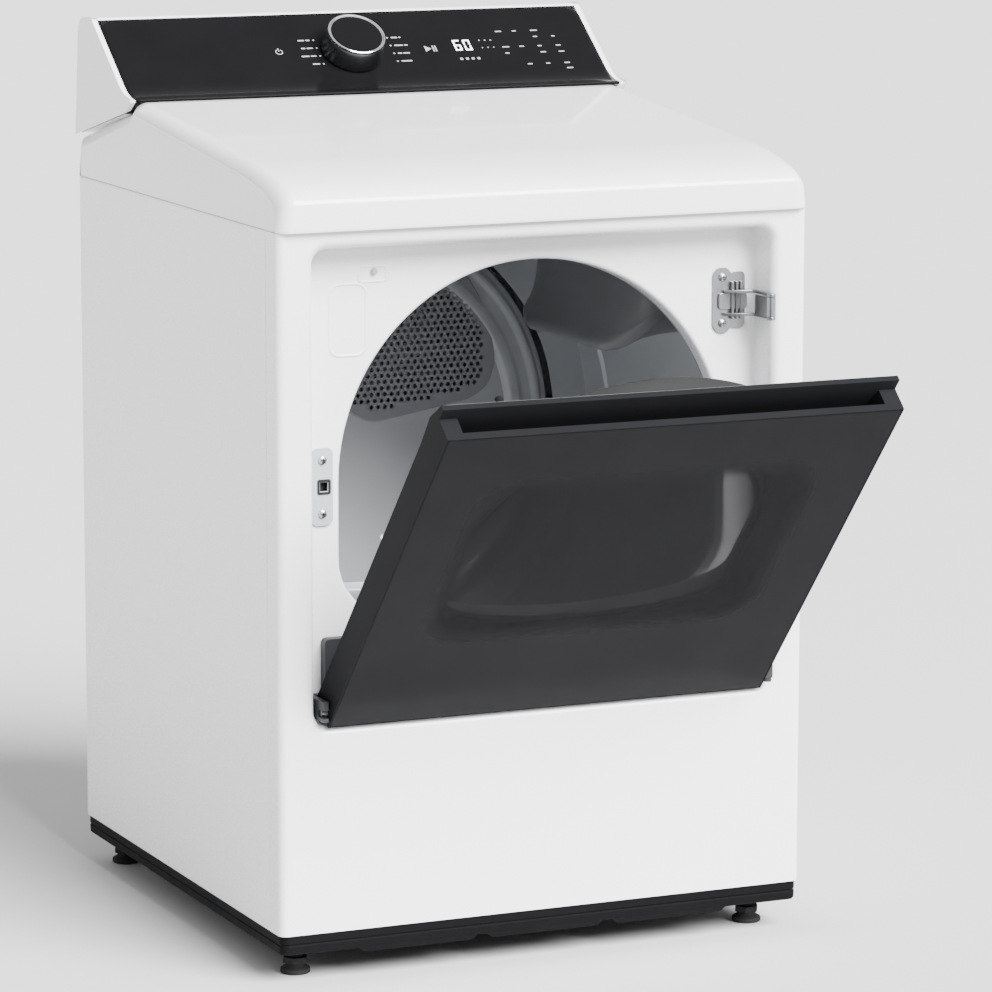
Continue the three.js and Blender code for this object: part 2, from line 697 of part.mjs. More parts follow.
function upperHingeLeaf() {
  const span = ARM_SPREAD - ARM_HEIGHT / 2 - GAP;
  const [low, high] = [UPPER_HINGE_Z - span, UPPER_HINGE_Z + span];
  const knuckle = rodZ(SWING_X, SWING_Y, KNUCKLE_RADIUS, low, high);
  const leaf = box(SWING_X - KNUCKLE_RADIUS, SWING_X - KNUCKLE_RADIUS + 2, SWING_Y, 22, low, high);
  const bore = rodZ(SWING_X, SWING_Y, HINGE_PIN_RADIUS + RUNNING_GAP, low - 5, high + 5, 12);
  return cut(join(knuckle, leaf), bore);
}

const LOWER_ARM_LOW = PIVOT_Z - 9.3;
const LOWER_ARM_HIGH = LOWER_ARM_LOW + 4.6;

function lowerHingeBracket() {
  const arm = box(SWING_X - 4, SWING_X + 4, SWING_Y, 40, LOWER_ARM_LOW, LOWER_ARM_HIGH);
  const eye = rodZ(SWING_X, SWING_Y, KNUCKLE_RADIUS, LOWER_ARM_LOW, LOWER_ARM_HIGH);
  const cross = box(SWING_X - 28, SWING_X + 4, 32.6, 40, LOWER_ARM_LOW, LOWER_ARM_HIGH);
  const riser = box(SWING_X - 28, SWING_X - 6, 36, 40, LOWER_ARM_LOW, PIVOT_Z + 45);
  const pad = box(SWING_X - 28, SWING_X - 6, 36, RECESS_DEPTH - GAP, RECESS_LOW + 13, PIVOT_Z + 45);
  const pin = rodZ(SWING_X, SWING_Y, HINGE_PIN_RADIUS, LOWER_ARM_LOW, PIVOT_Z + 4, 12);
  return join(arm, eye, cross, riser, pad, pin);
}

function lowerHingeBlock() {
  const [left, right] = [DOOR_HALF + 1, SWING_X + 5];
  const body = box(left, right, SWING_Y - 5, 9, LOWER_ARM_HIGH + GAP, PIVOT_Z + 12);
  const tiltPin = rodX(PIVOT_Y, PIVOT_Z, PIN_RADIUS, DOOR_HALF - DOOR_WALL + 1, right - 2);
  const swingBore = rodZ(SWING_X, SWING_Y, HINGE_PIN_RADIUS + RUNNING_GAP, LOWER_ARM_LOW, PIVOT_Z + 6, 12);
  return cut(join(body, tiltPin), swingBore);
}

function lowerPivotSocket() {
  const [left, right] = [-SWING_X - 4, -DOOR_HALF - 3];
  const arm = box(left, right, -14, 40, LOWER_ARM_LOW, PIVOT_Z + 15);
  const cross = box(left, -SWING_X + 30, 32.6, 40, PIVOT_Z - 5, PIVOT_Z + 15);
  const pad = alongY(roundedRect(-SWING_X + 19, -SWING_X + 90, RECESS_LOW + 13, PIVOT_Z + 79, 6),
    36, RECESS_DEPTH - GAP, 4);
  const slotHalf = PIN_RADIUS + 0.6;
  const slot = box(left - 1, right + 1, -20, PIVOT_Y, PIVOT_Z - slotHalf, PIVOT_Z + slotHalf);
  const seat = rodX(PIVOT_Y, PIVOT_Z, slotHalf, left - 1, right + 1);
  return cut(join(arm, cross, pad), slot, seat);
}

const STRIKE_TIP = RECESS_DEPTH + 5.6;
const SWITCH_TIP = RECESS_DEPTH - 6;
const CHANNEL_X = 5.5;
const CHANNEL_Z = 6;

function latchPlate() {
  const plate = alongY(roundedRect(LATCH_X - 15, LATCH_X + 11, LATCH_Z - 46, LATCH_Z + 46, 8),
    RECESS_DEPTH - 3, RECESS_DEPTH - GAP, 4);
  const reach = LATCH_HOLE - GAP;
  const neck = box(LATCH_X - reach, LATCH_X + reach, RECESS_DEPTH - 2, RECESS_DEPTH + 24,
    LATCH_Z - reach, LATCH_Z + reach);
  const channel = box(LATCH_X - CHANNEL_X, LATCH_X + CHANNEL_X, 0, RECESS_DEPTH + 40,
    LATCH_Z - CHANNEL_Z, LATCH_Z + CHANNEL_Z);
  return cut(join(plate, neck), channel);
}

function buildHardware() {
  add('upper_hinge_bracket', upperHingeBracket(), 'steel');
  add('upper_hinge_leaf', upperHingeLeaf(), 'steel');
  add('lower_hinge_bracket', lowerHingeBracket(), 'base');
  add('lower_hinge_block', lowerHingeBlock(), 'base');
  add('lower_pivot_socket', lowerPivotSocket(), 'base');
  add('latch_plate', latchPlate(), 'steel');
  const catchFront = STRIKE_TIP + GAP;
  add('latch_catch', box(LATCH_X - CHANNEL_X + GAP, LATCH_X + CHANNEL_X - GAP, catchFront, catchFront + 10,
    LATCH_Z - CHANNEL_Z + GAP, LATCH_Z + CHANNEL_Z - GAP), 'plastic');
  const plunger = turnedY([[0, SWITCH_TIP], [2.5, SWITCH_TIP], [4, SWITCH_TIP + 2], [4, SWITCH_TIP + 18],
    [0, SWITCH_TIP + 18]], SWITCH_X, SWITCH_Z, 14);
  add('door_switch_plunger', plunger, 'plastic');
  const housing = box(SWITCH_X - 12, SWITCH_X + 12, RECESS_DEPTH + SHEET + GAP, SWITCH_TIP + 30,
    SWITCH_Z - 9, SWITCH_Z + 9);
  const guide = rodY(SWITCH_X, SWITCH_Z, 4.4, SWITCH_TIP - 4, SWITCH_TIP + 26, 14);
  add('door_switch_housing', cut(housing, guide), 'plastic');
}

// ---------- Door, built where it lies closed and then tilted open about its lower pins ----------

const POCKET_FLOOR = DOOR_TOP - POCKET_DEPTH;
const CAVITY_TOP = POCKET_FLOOR - DOOR_WALL;
const POCKET_FRONT = DOOR_FRONT + GLASS + 5;
const POCKET_REAR = DOOR_FRONT + 5 + POCKET_WIDTH;
const POCKET_WALL = 7;
const LINER_FRONT = POCKET_REAR + POCKET_WALL + GAP;
const LINER_TOP = Math.max(DOOR_TOP, OPENING_Z + OPENING_RADIUS) + 6.5;
const WINDOW_FRAME = 46;
const SEAL_GROW = 7.5;
const WEB = 3;

function doorFrame() {
  const outline = polygon([
    [DOOR_FRONT, DOOR_BOTTOM], [DOOR_REAR, DOOR_BOTTOM], [DOOR_REAR, DOOR_TOP - 60], [DOOR_REAR + 3, DOOR_TOP - 18],
    [LINER_FRONT - GAP, DOOR_TOP + LIP_RISE], [POCKET_REAR, DOOR_TOP + LIP_RISE], [POCKET_REAR, DOOR_TOP],
    [DOOR_FRONT, DOOR_TOP],
  ]);
  const seat = box(-DOOR_HALF + 1.5, DOOR_HALF - 1.5, DOOR_FRONT - 5, DOOR_FRONT + GLASS + GAP,
    DOOR_BOTTOM + 1.5, DOOR_TOP - 1.5);
  const side = DOOR_HALF - DOOR_WALL;
  const cavity = box(-side, side, DOOR_FRONT + GLASS + GAP + WEB, DOOR_REAR + 20,
    DOOR_BOTTOM + DOOR_WALL, CAVITY_TOP);
  const rear = box(-side, side, LINER_FRONT - GAP, DOOR_REAR + 20, DOOR_BOTTOM + DOOR_WALL, DOOR_TOP + 40);
  const windowHole = alongY(roundedRect(-215, 215, DOOR_BOTTOM + 140, DOOR_BOTTOM + 440, 60),
    DOOR_FRONT, DOOR_REAR, 4);
  const pocket = alongY(polygon([[-255, POCKET_FLOOR], [255, POCKET_FLOOR], [270, DOOR_TOP + 40],
    [-270, DOOR_TOP + 40]]), POCKET_FRONT, POCKET_REAR);
  const pinBore = rodX(PIVOT_Y, PIVOT_Z, PIN_RADIUS + RUNNING_GAP, DOOR_HALF - DOOR_WALL - 1, DOOR_HALF + 1);
  return cut(alongX(outline, -DOOR_HALF, DOOR_HALF), seat, cavity, rear, windowHole, pocket, pinBore);
}

const linerRing = (inset, y) => rectRing(DOOR_HALF - DOOR_WALL - GAP - inset,
  DOOR_BOTTOM + DOOR_WALL + GAP + inset, LINER_TOP - inset, 6, y);
const plugRing = (inset, y) => openingRing(-PLUG_INSET - inset, y);

function doorLiner() {
  const stations = [
    [linerRing, 0, LINER_FRONT],
    [linerRing, 0, DOOR_REAR - 2],
    [linerRing, 2, DOOR_REAR],
    [plugRing, 0, DOOR_REAR],
    [plugRing, 8, PLUG_REAR - 4],
    [plugRing, 12, PLUG_REAR],
    [plugRing, 36, PLUG_REAR],
    [plugRing, WINDOW_FRAME, PLUG_REAR - 14],
    [plugRing, WINDOW_FRAME + 14, PLUG_REAR - 30],
  ];
  const boss = rodY(SWITCH_X, SWITCH_Z, 5, DOOR_REAR - 1.5, SWITCH_TIP - GAP, 12);
  return join(pressedSheet(stations, -2.5), boss);
}

// The opening's outline as a flat shape, grown by `grow`.
function openingShape(grow, Kind) {
  return flat(openingRing(grow, 0), Kind);
}

function doorSeal() {
  const ring = openingShape(SEAL_GROW);
  ring.holes.push(openingShape(SEAL_GROW - 4.5, THREE.Path));
  return alongY(ring, DOOR_REAR + GAP, RECESS_DEPTH - 1);
}

function buildDoor() {
  const pane = box(-DOOR_HALF + 1.9, DOOR_HALF - 1.9, DOOR_FRONT, DOOR_FRONT + GLASS,
    DOOR_BOTTOM + 1.9, DOOR_TOP - 1.9);
  add('door_frame', doorFrame(), 'charcoal', door);
  add('door_glass', pane, 'glass', door);
  add('door_liner', doorLiner(), 'plastic', door);
  const inner = openingShape(-PLUG_INSET - WINDOW_FRAME - 9);
  add('door_window', alongY(inner, PLUG_REAR - 40, PLUG_REAR - 36), 'glass', door);
  add('door_seal', doorSeal(), 'rubber', door);
  const bar = box(LATCH_X - 2.5, LATCH_X + 2.5, DOOR_REAR + GAP, STRIKE_TIP, LATCH_Z - 3, LATCH_Z + 3);
  const flange = box(LATCH_X - 9, LATCH_X + 9, DOOR_REAR + GAP, DOOR_REAR + 2.4, LATCH_Z - 16, LATCH_Z + 16);
  add('door_strike', join(bar, flange), 'chrome', door);
  add('door_pin_left', rodX(PIVOT_Y, PIVOT_Z, PIN_RADIUS, -SWING_X - 2, -DOOR_HALF - GAP), 'steel', door);
  for (const piece of door.children) piece.geometry.translate(0, -PIVOT_Y, -PIVOT_Z);
  door.position.set(0, PIVOT_Y, PIVOT_Z);
  door.rotation.x = THREE.MathUtils.degToRad(DOOR_TILT);
  dryer.add(door);
}

// ---------- Drum and bulkheads ----------

function drumShell() {
  const [r, t] = [DRUM_RADIUS, DRUM_SHEET];
  const outer = [
    [DRUM_FRONT_RADIUS, DRUM_FRONT], [r - 3, DRUM_FRONT], [r, DRUM_FRONT + 3], [r, DRUM_FRONT + 60],
    [r - DRUM_RIB, DRUM_FRONT + 68], [r, DRUM_FRONT + 76], [r, DRUM_REAR - 76],
    [r - DRUM_RIB, DRUM_REAR - 68], [r, DRUM_REAR - 60], [r, DRUM_REAR - 3],
    [r - 3, DRUM_REAR], [DRUM_REAR_RADIUS, DRUM_REAR],
  ];
  const inner = outer.map(([radius, y], i) => {
    const flange = i === 0 || i === outer.length - 1;
    const away = y < (DRUM_FRONT + DRUM_REAR) / 2 ? Math.max(y, DRUM_FRONT + t) : Math.min(y, DRUM_REAR - t);
    return [flange ? radius : radius - t, away];
  });
  return turnedY([...outer, ...inner.reverse(), outer[0]], DRUM_X, DRUM_Z, 40);
}

// A hollow wedge, open towards the drum's wall.
function baffle(number) {
  const angle = THREE.MathUtils.degToRad(BAFFLE_ANGLE + (number * 360) / BAFFLE_COUNT);
  const seat = DRUM_RADIUS - DRUM_SHEET - DRUM_RIB - 2;
  const tip = DRUM_RADIUS - BAFFLE_HEIGHT;
  const spread = THREE.MathUtils.degToRad(10);
  const [foot, rise] = [seat * Math.cos(spread), seat * Math.sin(spread)];
  const wedge = [[foot, rise], [tip + 12, 10], [tip, 5], [tip, -5], [tip + 12, -10], [foot, -rise]];
  const turn = (points) => points.map(([u, v]) => new THREE.Vector2(u, v).rotateAround(new THREE.Vector2(), angle));
  const [front, rear] = [DRUM_FRONT + 40, DRUM_REAR - 100];
  const outside = alongY(new THREE.Shape(turn(wedge)), front, rear);
  const hollow = wedge.map(([u, v]) => [u + BAFFLE_WALL * 1.6, v * 0.9]);
  const inside = alongY(new THREE.Shape(turn(hollow)), front + BAFFLE_WALL, rear - BAFFLE_WALL);
  return cut(outside, inside).translate(DRUM_X, 0, DRUM_Z);
}

const rollerReach = DRUM_RADIUS + ROLLER_RADIUS + GAP;

function rollerPlace(side) {
  const angle = THREE.MathUtils.degToRad(ROLLER_ANGLE);
  return [DRUM_X + side * rollerReach * Math.sin(angle), DRUM_Z - rollerReach * Math.cos(angle)];
}

function roller(side, y) {
  const [x, z] = rollerPlace(side);
  const bore = AXLE_RADIUS + RUNNING_GAP;
  const profile = [[bore, y], [ROLLER_RADIUS, y], [ROLLER_RADIUS, y + ROLLER_WIDTH], [bore, y + ROLLER_WIDTH],
    [bore, y]];
  return turnedY(profile, x, z, 20);
}

const FRONT_ROLLER_Y = DRUM_FRONT + 14;
const REAR_ROLLER_Y = DRUM_REAR - 14 - ROLLER_WIDTH;

function frontBulkhead() {
  const collar = DRUM_FRONT_RADIUS - 4;
  const lip = RECESS_DEPTH + OPENING_LIP + GAP + 1;
  const openOut = (inset, y) => openingRing(-inset, y);
  const round = (inset, y) => circleRing(collar - inset, y);
  const stations = [
    [round, 0, DRUM_FRONT + 12],
    [round, 0, DRUM_FRONT - 2],
    [round, 4, BULKHEAD_Y + 2],
    [openOut, -14, lip + 6],
    [openOut, -1, lip],
  ];
  const throat = pressedSheet(stations, SHEET);
  const plateShape = roundedRect(-HALF + 6, HALF - 6, 252, RECESS_HIGH + 8, 6);
  plateShape.holes.push(flat(circleRing(collar - 6, 0), THREE.Path));
  const plate = alongY(plateShape, BULKHEAD_Y, BULKHEAD_Y + SHEET + 1, 2);
  const slot = box(DRUM_X - FILTER_HALF - 6, DRUM_X + FILTER_HALF + 6, FILTER_FRONT - 5, BLOWER_FRONT + 1,
    200, OPENING_LOW + 30);
  const studs = [-1, 1].map((side) => {
    const [x, z] = rollerPlace(side);
    return rodY(x, z, AXLE_RADIUS, BULKHEAD_Y + 1, FRONT_ROLLER_Y + ROLLER_WIDTH + 4, 14);
  });
  return join(cut(join(throat, plate), slot), ...studs);
}

const GRILLE_OUTLINE = [[22, 566], [160, 590], [186, 606], [196, 640], [186, 700], [150, 760], [112, 782],
  [60, 782], [-70, 782], [-112, 740], [-70, 650], [-10, 582]];

function rearBulkhead() {
  const dish = DRUM_REAR_RADIUS - 4;
  const [front, back, t] = [DRUM_REAR + 8, REAR_BULKHEAD_Y, 1.2];
  const face = [[0, front], [214, front], [220, front - 5], [232, front - 5], [238, front], [dish, front],
    [dish, back]];
  const rear = face.map(([r, y], i) => [i < 5 ? r : r - t, i > 5 ? y : y + t]).reverse();
  const pan = turnedY([...face, ...rear], DRUM_X, DRUM_Z, 36);
  const plateShape = roundedRect(-HALF + 6, HALF - 6, 205, RECESS_HIGH + 8, 6);
  plateShape.holes.push(disc(DRUM_X, DRUM_Z, dish - t / 2));
  const plate = alongY(plateShape, back - SHEET, back, 18);
  const hole = alongY(polygon(GRILLE_OUTLINE.map(([x, z]) => [x + DRUM_X - 6, z])), front - 20, front + 20);
  const studs = [-1, 1].map((side) => {
    const [x, z] = rollerPlace(side);
    return rodY(x, z, AXLE_RADIUS, REAR_ROLLER_Y - 4, back - 0.5, 14);
  });
  return cut(join(pan, plate, ...studs), hole);
}

function airInletGrille() {
  const centre = [45, 675];
  const shrink = GRILLE_OUTLINE.map(([x, z]) => [centre[0] + (x - centre[0]) * 0.985, centre[1] + (z - centre[1]) * 0.985]);
  const plate = polygon(shrink);
  const pitch = 34;
  for (let row = 0; row < 6; row += 1) {
    for (let column = 0; column < 8; column += 1) {
      const x = -70 + column * pitch + (row % 2) * (pitch / 2);
      const z = 604 + row * pitch * 0.87;
      if (insideBy(shrink, x, z, 15)) plate.holes.push(disc(x, z, 11));
    }
  }
  return alongY(plate, DRUM_REAR + 8, DRUM_REAR + 11, 3).translate(DRUM_X - 6, 0, 0);
}

// Whether a point lies inside a convex-enough outline, at least `margin` from each edge's line.
function insideBy(outline, x, z, margin) {
  return outline.every(([ax, az], i) => {
    const [bx, bz] = outline[(i + 1) % outline.length];
    const length = Math.hypot(bx - ax, bz - az);
    return ((bx - ax) * (z - az) - (bz - az) * (x - ax)) / length > margin;
  });
}

function buildDrum() {
  add('drum', drumShell(), 'drum');
  for (let number = 0; number < BAFFLE_COUNT; number += 1) add(`baffle_${number + 1}`, baffle(number), 'plastic');
  add('front_bulkhead', frontBulkhead(), 'galvanised');
  add('rear_bulkhead', rearBulkhead(), 'drum');
  add('air_inlet_grille', airInletGrille(), 'plastic');
  for (const [name, side] of [['left', -1], ['right', 1]]) {
    add(`roller_front_${name}`, roller(side, FRONT_ROLLER_Y), 'rubber');
    add(`roller_rear_${name}`, roller(side, REAR_ROLLER_Y), 'rubber');
  }
}

// ---------- Drive train, air path and heater ----------

function driveMotor() {
  const can = rodY(MOTOR_X, MOTOR_Z, MOTOR_RADIUS, 200, 330, 28);
  const mount = box(ARM_X - 16, MOTOR_X + 55, 215, 315, BODY_BOTTOM + GAP, BODY_BOTTOM + 6);
  const cradle = box(MOTOR_X - 45, MOTOR_X + 45, 225, 305, BODY_BOTTOM + 5, MOTOR_Z - 30);
  const post = box(ARM_X - 14, ARM_X + 14, 300, 314, BODY_BOTTOM + 5, ARM_Z + 12);
  const stud = rodY(ARM_X, ARM_Z, 5, 310, 392, 14);
  const bore = rodY(MOTOR_X, MOTOR_Z, SHAFT_RADIUS + GAP, 190, 340, 20);
  return cut(join(can, mount, cradle, post, stud), bore);
}

function motorPulley() {
  const [y0, y1] = [BELT_Y - 10, BELT_Y + 10];
  const profile = [[0, BLOWER_REAR + 6], [SHAFT_RADIUS, BLOWER_REAR + 6], [SHAFT_RADIUS, y0], [PULLEY_RADIUS + 3, y0],
    [PULLEY_RADIUS + 3, y0 + 3], [PULLEY_RADIUS, y0 + 4], [PULLEY_RADIUS, y1 - 4], [PULLEY_RADIUS + 3, y1 - 3],
    [PULLEY_RADIUS + 3, y1], [0, y1]];
  return turnedY(profile, MOTOR_X, MOTOR_Z, 20);
}

function idlerArm() {
  const swing = Math.atan2(IDLER_Z - ARM_Z, IDLER_X - ARM_X);
  const length = Math.hypot(IDLER_Z - ARM_Z, IDLER_X - ARM_X);
  const bar = alongY(roundedRect(-12, length + 12, -12, 12, 11), 376, 382, 5);
  bar.rotateY(-swing).translate(ARM_X, 0, ARM_Z);
  const stud = rodY(IDLER_X, IDLER_Z, 5, 380, BELT_Y + 12, 14);
  return cut(join(bar, stud), rodY(ARM_X, ARM_Z, 5 + RUNNING_GAP, 360, 400, 14));
}

function idlerPulley() {
  const bore = 5 + RUNNING_GAP;
  const [y0, y1] = [BELT_Y - 10, BELT_Y + 10];
  const profile = [[bore, y0], [IDLER_RADIUS + 3, y0], [IDLER_RADIUS + 3, y0 + 3], [IDLER_RADIUS, y0 + 4],
    [IDLER_RADIUS, y1 - 4], [IDLER_RADIUS + 3, y1 - 3], [IDLER_RADIUS + 3, y1], [bore, y1], [bore, y0]];
  return turnedY(profile, IDLER_X, IDLER_Z, 24);
}

// The outline round a set of circles [x, z, radius], from points all round each of them.
function hullOutline(circles) {
  const points = circles.flatMap(([x, z, r]) => {
    const steps = r > 100 ? 72 : 20;
    return Array.from({ length: steps }, (_, k) => {
      const angle = (k / steps) * Math.PI * 2;
      return [x + r * Math.cos(angle), z + r * Math.sin(angle)];
    });
  }).sort((p, q) => p[0] - q[0] || p[1] - q[1]);
  const turn = (o, a, b) => (a[0] - o[0]) * (b[1] - o[1]) - (a[1] - o[1]) * (b[0] - o[0]);
  const half = (list) => list.reduce((chain, p) => {
    while (chain.length > 1 && turn(chain[chain.length - 2], chain[chain.length - 1], p) <= 0) chain.pop();
    return [...chain, p];
  }, []).slice(0, -1);
  return [...half(points), ...half([...points].reverse())];
}

function driveBelt() {
  const around = (grow) => polygon(hullOutline([[DRUM_X, DRUM_Z, DRUM_RADIUS + 1 + grow],
    [MOTOR_X, MOTOR_Z, PULLEY_RADIUS + GAP + grow], [IDLER_X, IDLER_Z, IDLER_RADIUS + GAP + grow]]));
  const loop = around(BELT_THICKNESS);
  loop.holes.push(around(0));
  return alongY(loop, BELT_Y - BELT_WIDTH / 2, BELT_Y + BELT_WIDTH / 2);
}

function blowerHousing() {
  const [low, high] = [BODY_BOTTOM + 3, DUCT_Z + DUCT_RADIUS + 4];
  const scroll = (wall) => join(
    rodY(MOTOR_X, MOTOR_Z, BLOWER_RADIUS - wall, BLOWER_FRONT + wall, BLOWER_REAR - wall, 32),
    box(DUCT_X - DUCT_RADIUS - 4 + wall, MOTOR_X, BLOWER_FRONT + wall, BLOWER_REAR - wall, low + wall, high - wall));
  const inlet = rodY(MOTOR_X, MOTOR_Z, 52, BLOWER_FRONT - 5, BLOWER_FRONT + 6, 24);
  const shaftHole = rodY(MOTOR_X, MOTOR_Z, SHAFT_RADIUS + 6, BLOWER_REAR - 6, BLOWER_REAR + 5, 20);
  const outlet = rodY(DUCT_X, DUCT_Z, DUCT_RADIUS - 3, BLOWER_REAR - 6, BLOWER_REAR + 5, 24);
  return cut(scroll(0), scroll(2), inlet, shaftHole, outlet);
}

function blowerWheel() {
  const [y0, y1] = [BLOWER_FRONT + 8, BLOWER_REAR - 8];
  const plate = rodY(MOTOR_X, MOTOR_Z, 76, y1 - 3, y1, 32);
  const hub = rodY(MOTOR_X, MOTOR_Z, 12, y0 + 14, BLOWER_REAR + 5, 16);
  const vanes = [];
  const count = 12;
  for (let k = 0; k < count; k += 1) {
    const vane = box(58, 75, y0, y1 - 1, -1.2, 1.2);
    vanes.push(vane.rotateY(0).applyMatrix4(new THREE.Matrix4().makeRotationY((k / count) * Math.PI * 2))
      .translate(MOTOR_X, 0, MOTOR_Z));
  }
  return join(plate, hub, ...vanes);
}

function lintDuct() {
  const [x0, x1] = [DRUM_X - FILTER_HALF - 4, DRUM_X + FILTER_HALF + 4];
  const outline = (wall, top) => polygon([[x0 + wall, top], [x0 + wall, 262], [MOTOR_X - 70 + wall, 88 + wall],
    [MOTOR_X + 66 - wall, 88 + wall], [MOTOR_X + 66 - wall, 232 - wall], [x1 - wall, 266], [x1 - wall, top]]);
  const [front, back] = [FILTER_FRONT - 4, BLOWER_FRONT - GAP];
  const body = alongY(outline(0, OPENING_LOW - 6), front, back);
  const hollow = alongY(outline(2, OPENING_LOW + 20), front + 2, back - 2);
  const outlet = rodY(MOTOR_X, MOTOR_Z, 50, back - 5, back + 5, 24);
  return cut(body, hollow, outlet);
}

function lintFilter() {
  const [y0, y1] = [FILTER_FRONT, FILTER_FRONT + FILTER_THICKNESS];
  const [x0, x1] = [DRUM_X - FILTER_HALF, DRUM_X + FILTER_HALF];
  const frame = polygon([[x0, OPENING_LOW + 4], [x0, 270], [x0 + 14, 262], [x1 - 14, 262], [x1, 270],
    [x1, OPENING_LOW + 4]]);
  const body = alongY(frame, y0, y1);
  const meshWindow = box(x0 + 8, x1 - 8, y0 - 5, y0 + 8, 272, OPENING_LOW - 22);
  const handle = box(DRUM_X - 30, DRUM_X + 30, y0 - 5, y0 + 5, OPENING_LOW - 14, OPENING_LOW - 2);
  return cut(body, meshWindow, handle);
}

function exhaustDuct() {
  const [r, y0, y1] = [DUCT_RADIUS, BLOWER_REAR + GAP, DEPTH + DUCT_OUT];
  return turnedY([[r, y0], [r, y1], [r - 1.5, y1], [r - 1.5, y0], [r, y0]], DUCT_X, DUCT_Z, 32);
}

function heaterHousing() {
  const [x0, x1, y0, y1, z0, z1] = [-120, 204, REAR_BULKHEAD_Y + GAP, DEPTH - 6, 130, 800];
  const shell = cut(box(x0, x1, y0, y1, z0, z1), box(x0 + 1, x1 - 1, y0 + 1, y1 - 1, z0 - 5, z1 - 1));
  return cut(shell, box(x0 + 14, x1 - 14, y0 - 5, y0 + 5, 560, 790));
}

function heaterCoil() {
  const points = [];
  const loops = 5;
  for (let k = 0; k <= loops * 8; k += 1) {
    const t = k / (loops * 8);
    points.push(new THREE.Vector3(-80 + 240 * t, 656 + 12 * Math.sin(k * 0.5), 260 + 90 * Math.sin(k * (Math.PI / 4))));
  }
  const path = new THREE.CatmullRomCurve3(points);
  const wire = new THREE.ExtrudeGeometry(disc(0, 0, 4), {
    steps: 48, extrudePath: path, curveSegments: 3, bevelEnabled: false,
  });
  return wire;
}

function buildMachinery() {
  add('drive_motor', driveMotor(), 'aluminium');
  add('motor_pulley', motorPulley(), 'steel');
  add('idler_arm', idlerArm(), 'galvanised');
  add('idler_pulley', idlerPulley(), 'plastic');
  add('drive_belt', driveBelt(), 'rubber');
  add('blower_housing', blowerHousing(), 'plastic');
  add('blower_wheel', blowerWheel(), 'plastic');
  add('lint_duct', lintDuct(), 'plastic');
  add('lint_filter', lintFilter(), 'plastic');
  add('exhaust_duct', exhaustDuct(), 'galvanised');
  add('heater_housing', heaterHousing(), 'galvanised');
  add('heater_coil', heaterCoil(), 'steel');
  const [sensorY, sensorZ] = [RECESS_DEPTH + 4, OPENING_LOW + 6];
  const rails = [box(DRUM_X - 34, DRUM_X + 34, sensorY, sensorY + 16, sensorZ, sensorZ + 2),
    box(DRUM_X - 30, DRUM_X + 30, sensorY + 2, sensorY + 6, sensorZ + 1, sensorZ + 5),
    box(DRUM_X - 30, DRUM_X + 30, sensorY + 10, sensorY + 14, sensorZ + 1, sensorZ + 5)];
  add('moisture_sensor', join(...rails), 'steel');
}

buildBase();
buildCabinet();
buildConsole();
buildHardware();
buildDoor();
buildDrum();
buildMachinery();

// The origin is the middle of the bounding box's bottom face.
dryer.updateMatrixWorld(true);
const extent = new THREE.Box3().setFromObject(dryer, true);
const middle = extent.getCenter(new THREE.Vector3());
dryer.position.set(-middle.x, -middle.y, -extent.min.z);
dryer.updateMatrixWorld(true);

export default dryer;
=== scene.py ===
"""Clothes dryer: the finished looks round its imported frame, laid out as a Blender add-on."""

import json
import math

import bmesh
import bpy
from bpy.props import FloatProperty, FloatVectorProperty, IntProperty, PointerProperty
from mathutils import Euler, Matrix, Vector


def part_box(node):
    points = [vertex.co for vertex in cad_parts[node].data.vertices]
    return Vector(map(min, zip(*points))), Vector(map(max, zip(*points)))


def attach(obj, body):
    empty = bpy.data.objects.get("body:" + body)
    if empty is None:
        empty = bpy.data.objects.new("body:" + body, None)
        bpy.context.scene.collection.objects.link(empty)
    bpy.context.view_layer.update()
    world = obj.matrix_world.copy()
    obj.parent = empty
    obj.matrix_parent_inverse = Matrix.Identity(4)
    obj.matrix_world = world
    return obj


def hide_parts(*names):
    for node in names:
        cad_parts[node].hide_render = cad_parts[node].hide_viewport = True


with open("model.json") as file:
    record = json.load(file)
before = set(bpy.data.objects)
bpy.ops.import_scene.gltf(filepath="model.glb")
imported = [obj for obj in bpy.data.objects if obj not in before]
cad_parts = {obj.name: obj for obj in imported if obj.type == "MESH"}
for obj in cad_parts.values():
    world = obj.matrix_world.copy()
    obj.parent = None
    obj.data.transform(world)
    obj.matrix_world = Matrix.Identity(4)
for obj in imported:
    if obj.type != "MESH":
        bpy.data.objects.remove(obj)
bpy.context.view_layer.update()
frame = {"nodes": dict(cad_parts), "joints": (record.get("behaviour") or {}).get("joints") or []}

bl_info = {
    "name": "Clothes Dryer",
    "version": (1, 0, 0),
    "blender": (4, 5, 0),
    "location": "View3D > Sidebar > Dryer",
    "description": "Builds the visible pieces of a clothes dryer round its packed frame",
    "category": "Object",
}


# ---------- Places, in millimetres from the front panel's face, the middle and the floor ----------

ORIGIN = Vector((0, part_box("front_panel")[0].y, 0))
MM = 1000


def corners(node):
    """A node's lowest and highest corners in millimetres."""
    low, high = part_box(node)
    return (low - ORIGIN) * MM, (high - ORIGIN) * MM


def joint(name):
    """A joint's entry in the frame, with its place in millimetres under "place"."""
    found = next(item for item in frame["joints"] if item["name"] == name)
    return {**found, "place": (Vector(found.get("pos_m", (0, 0, 0))) - ORIGIN) * MM}


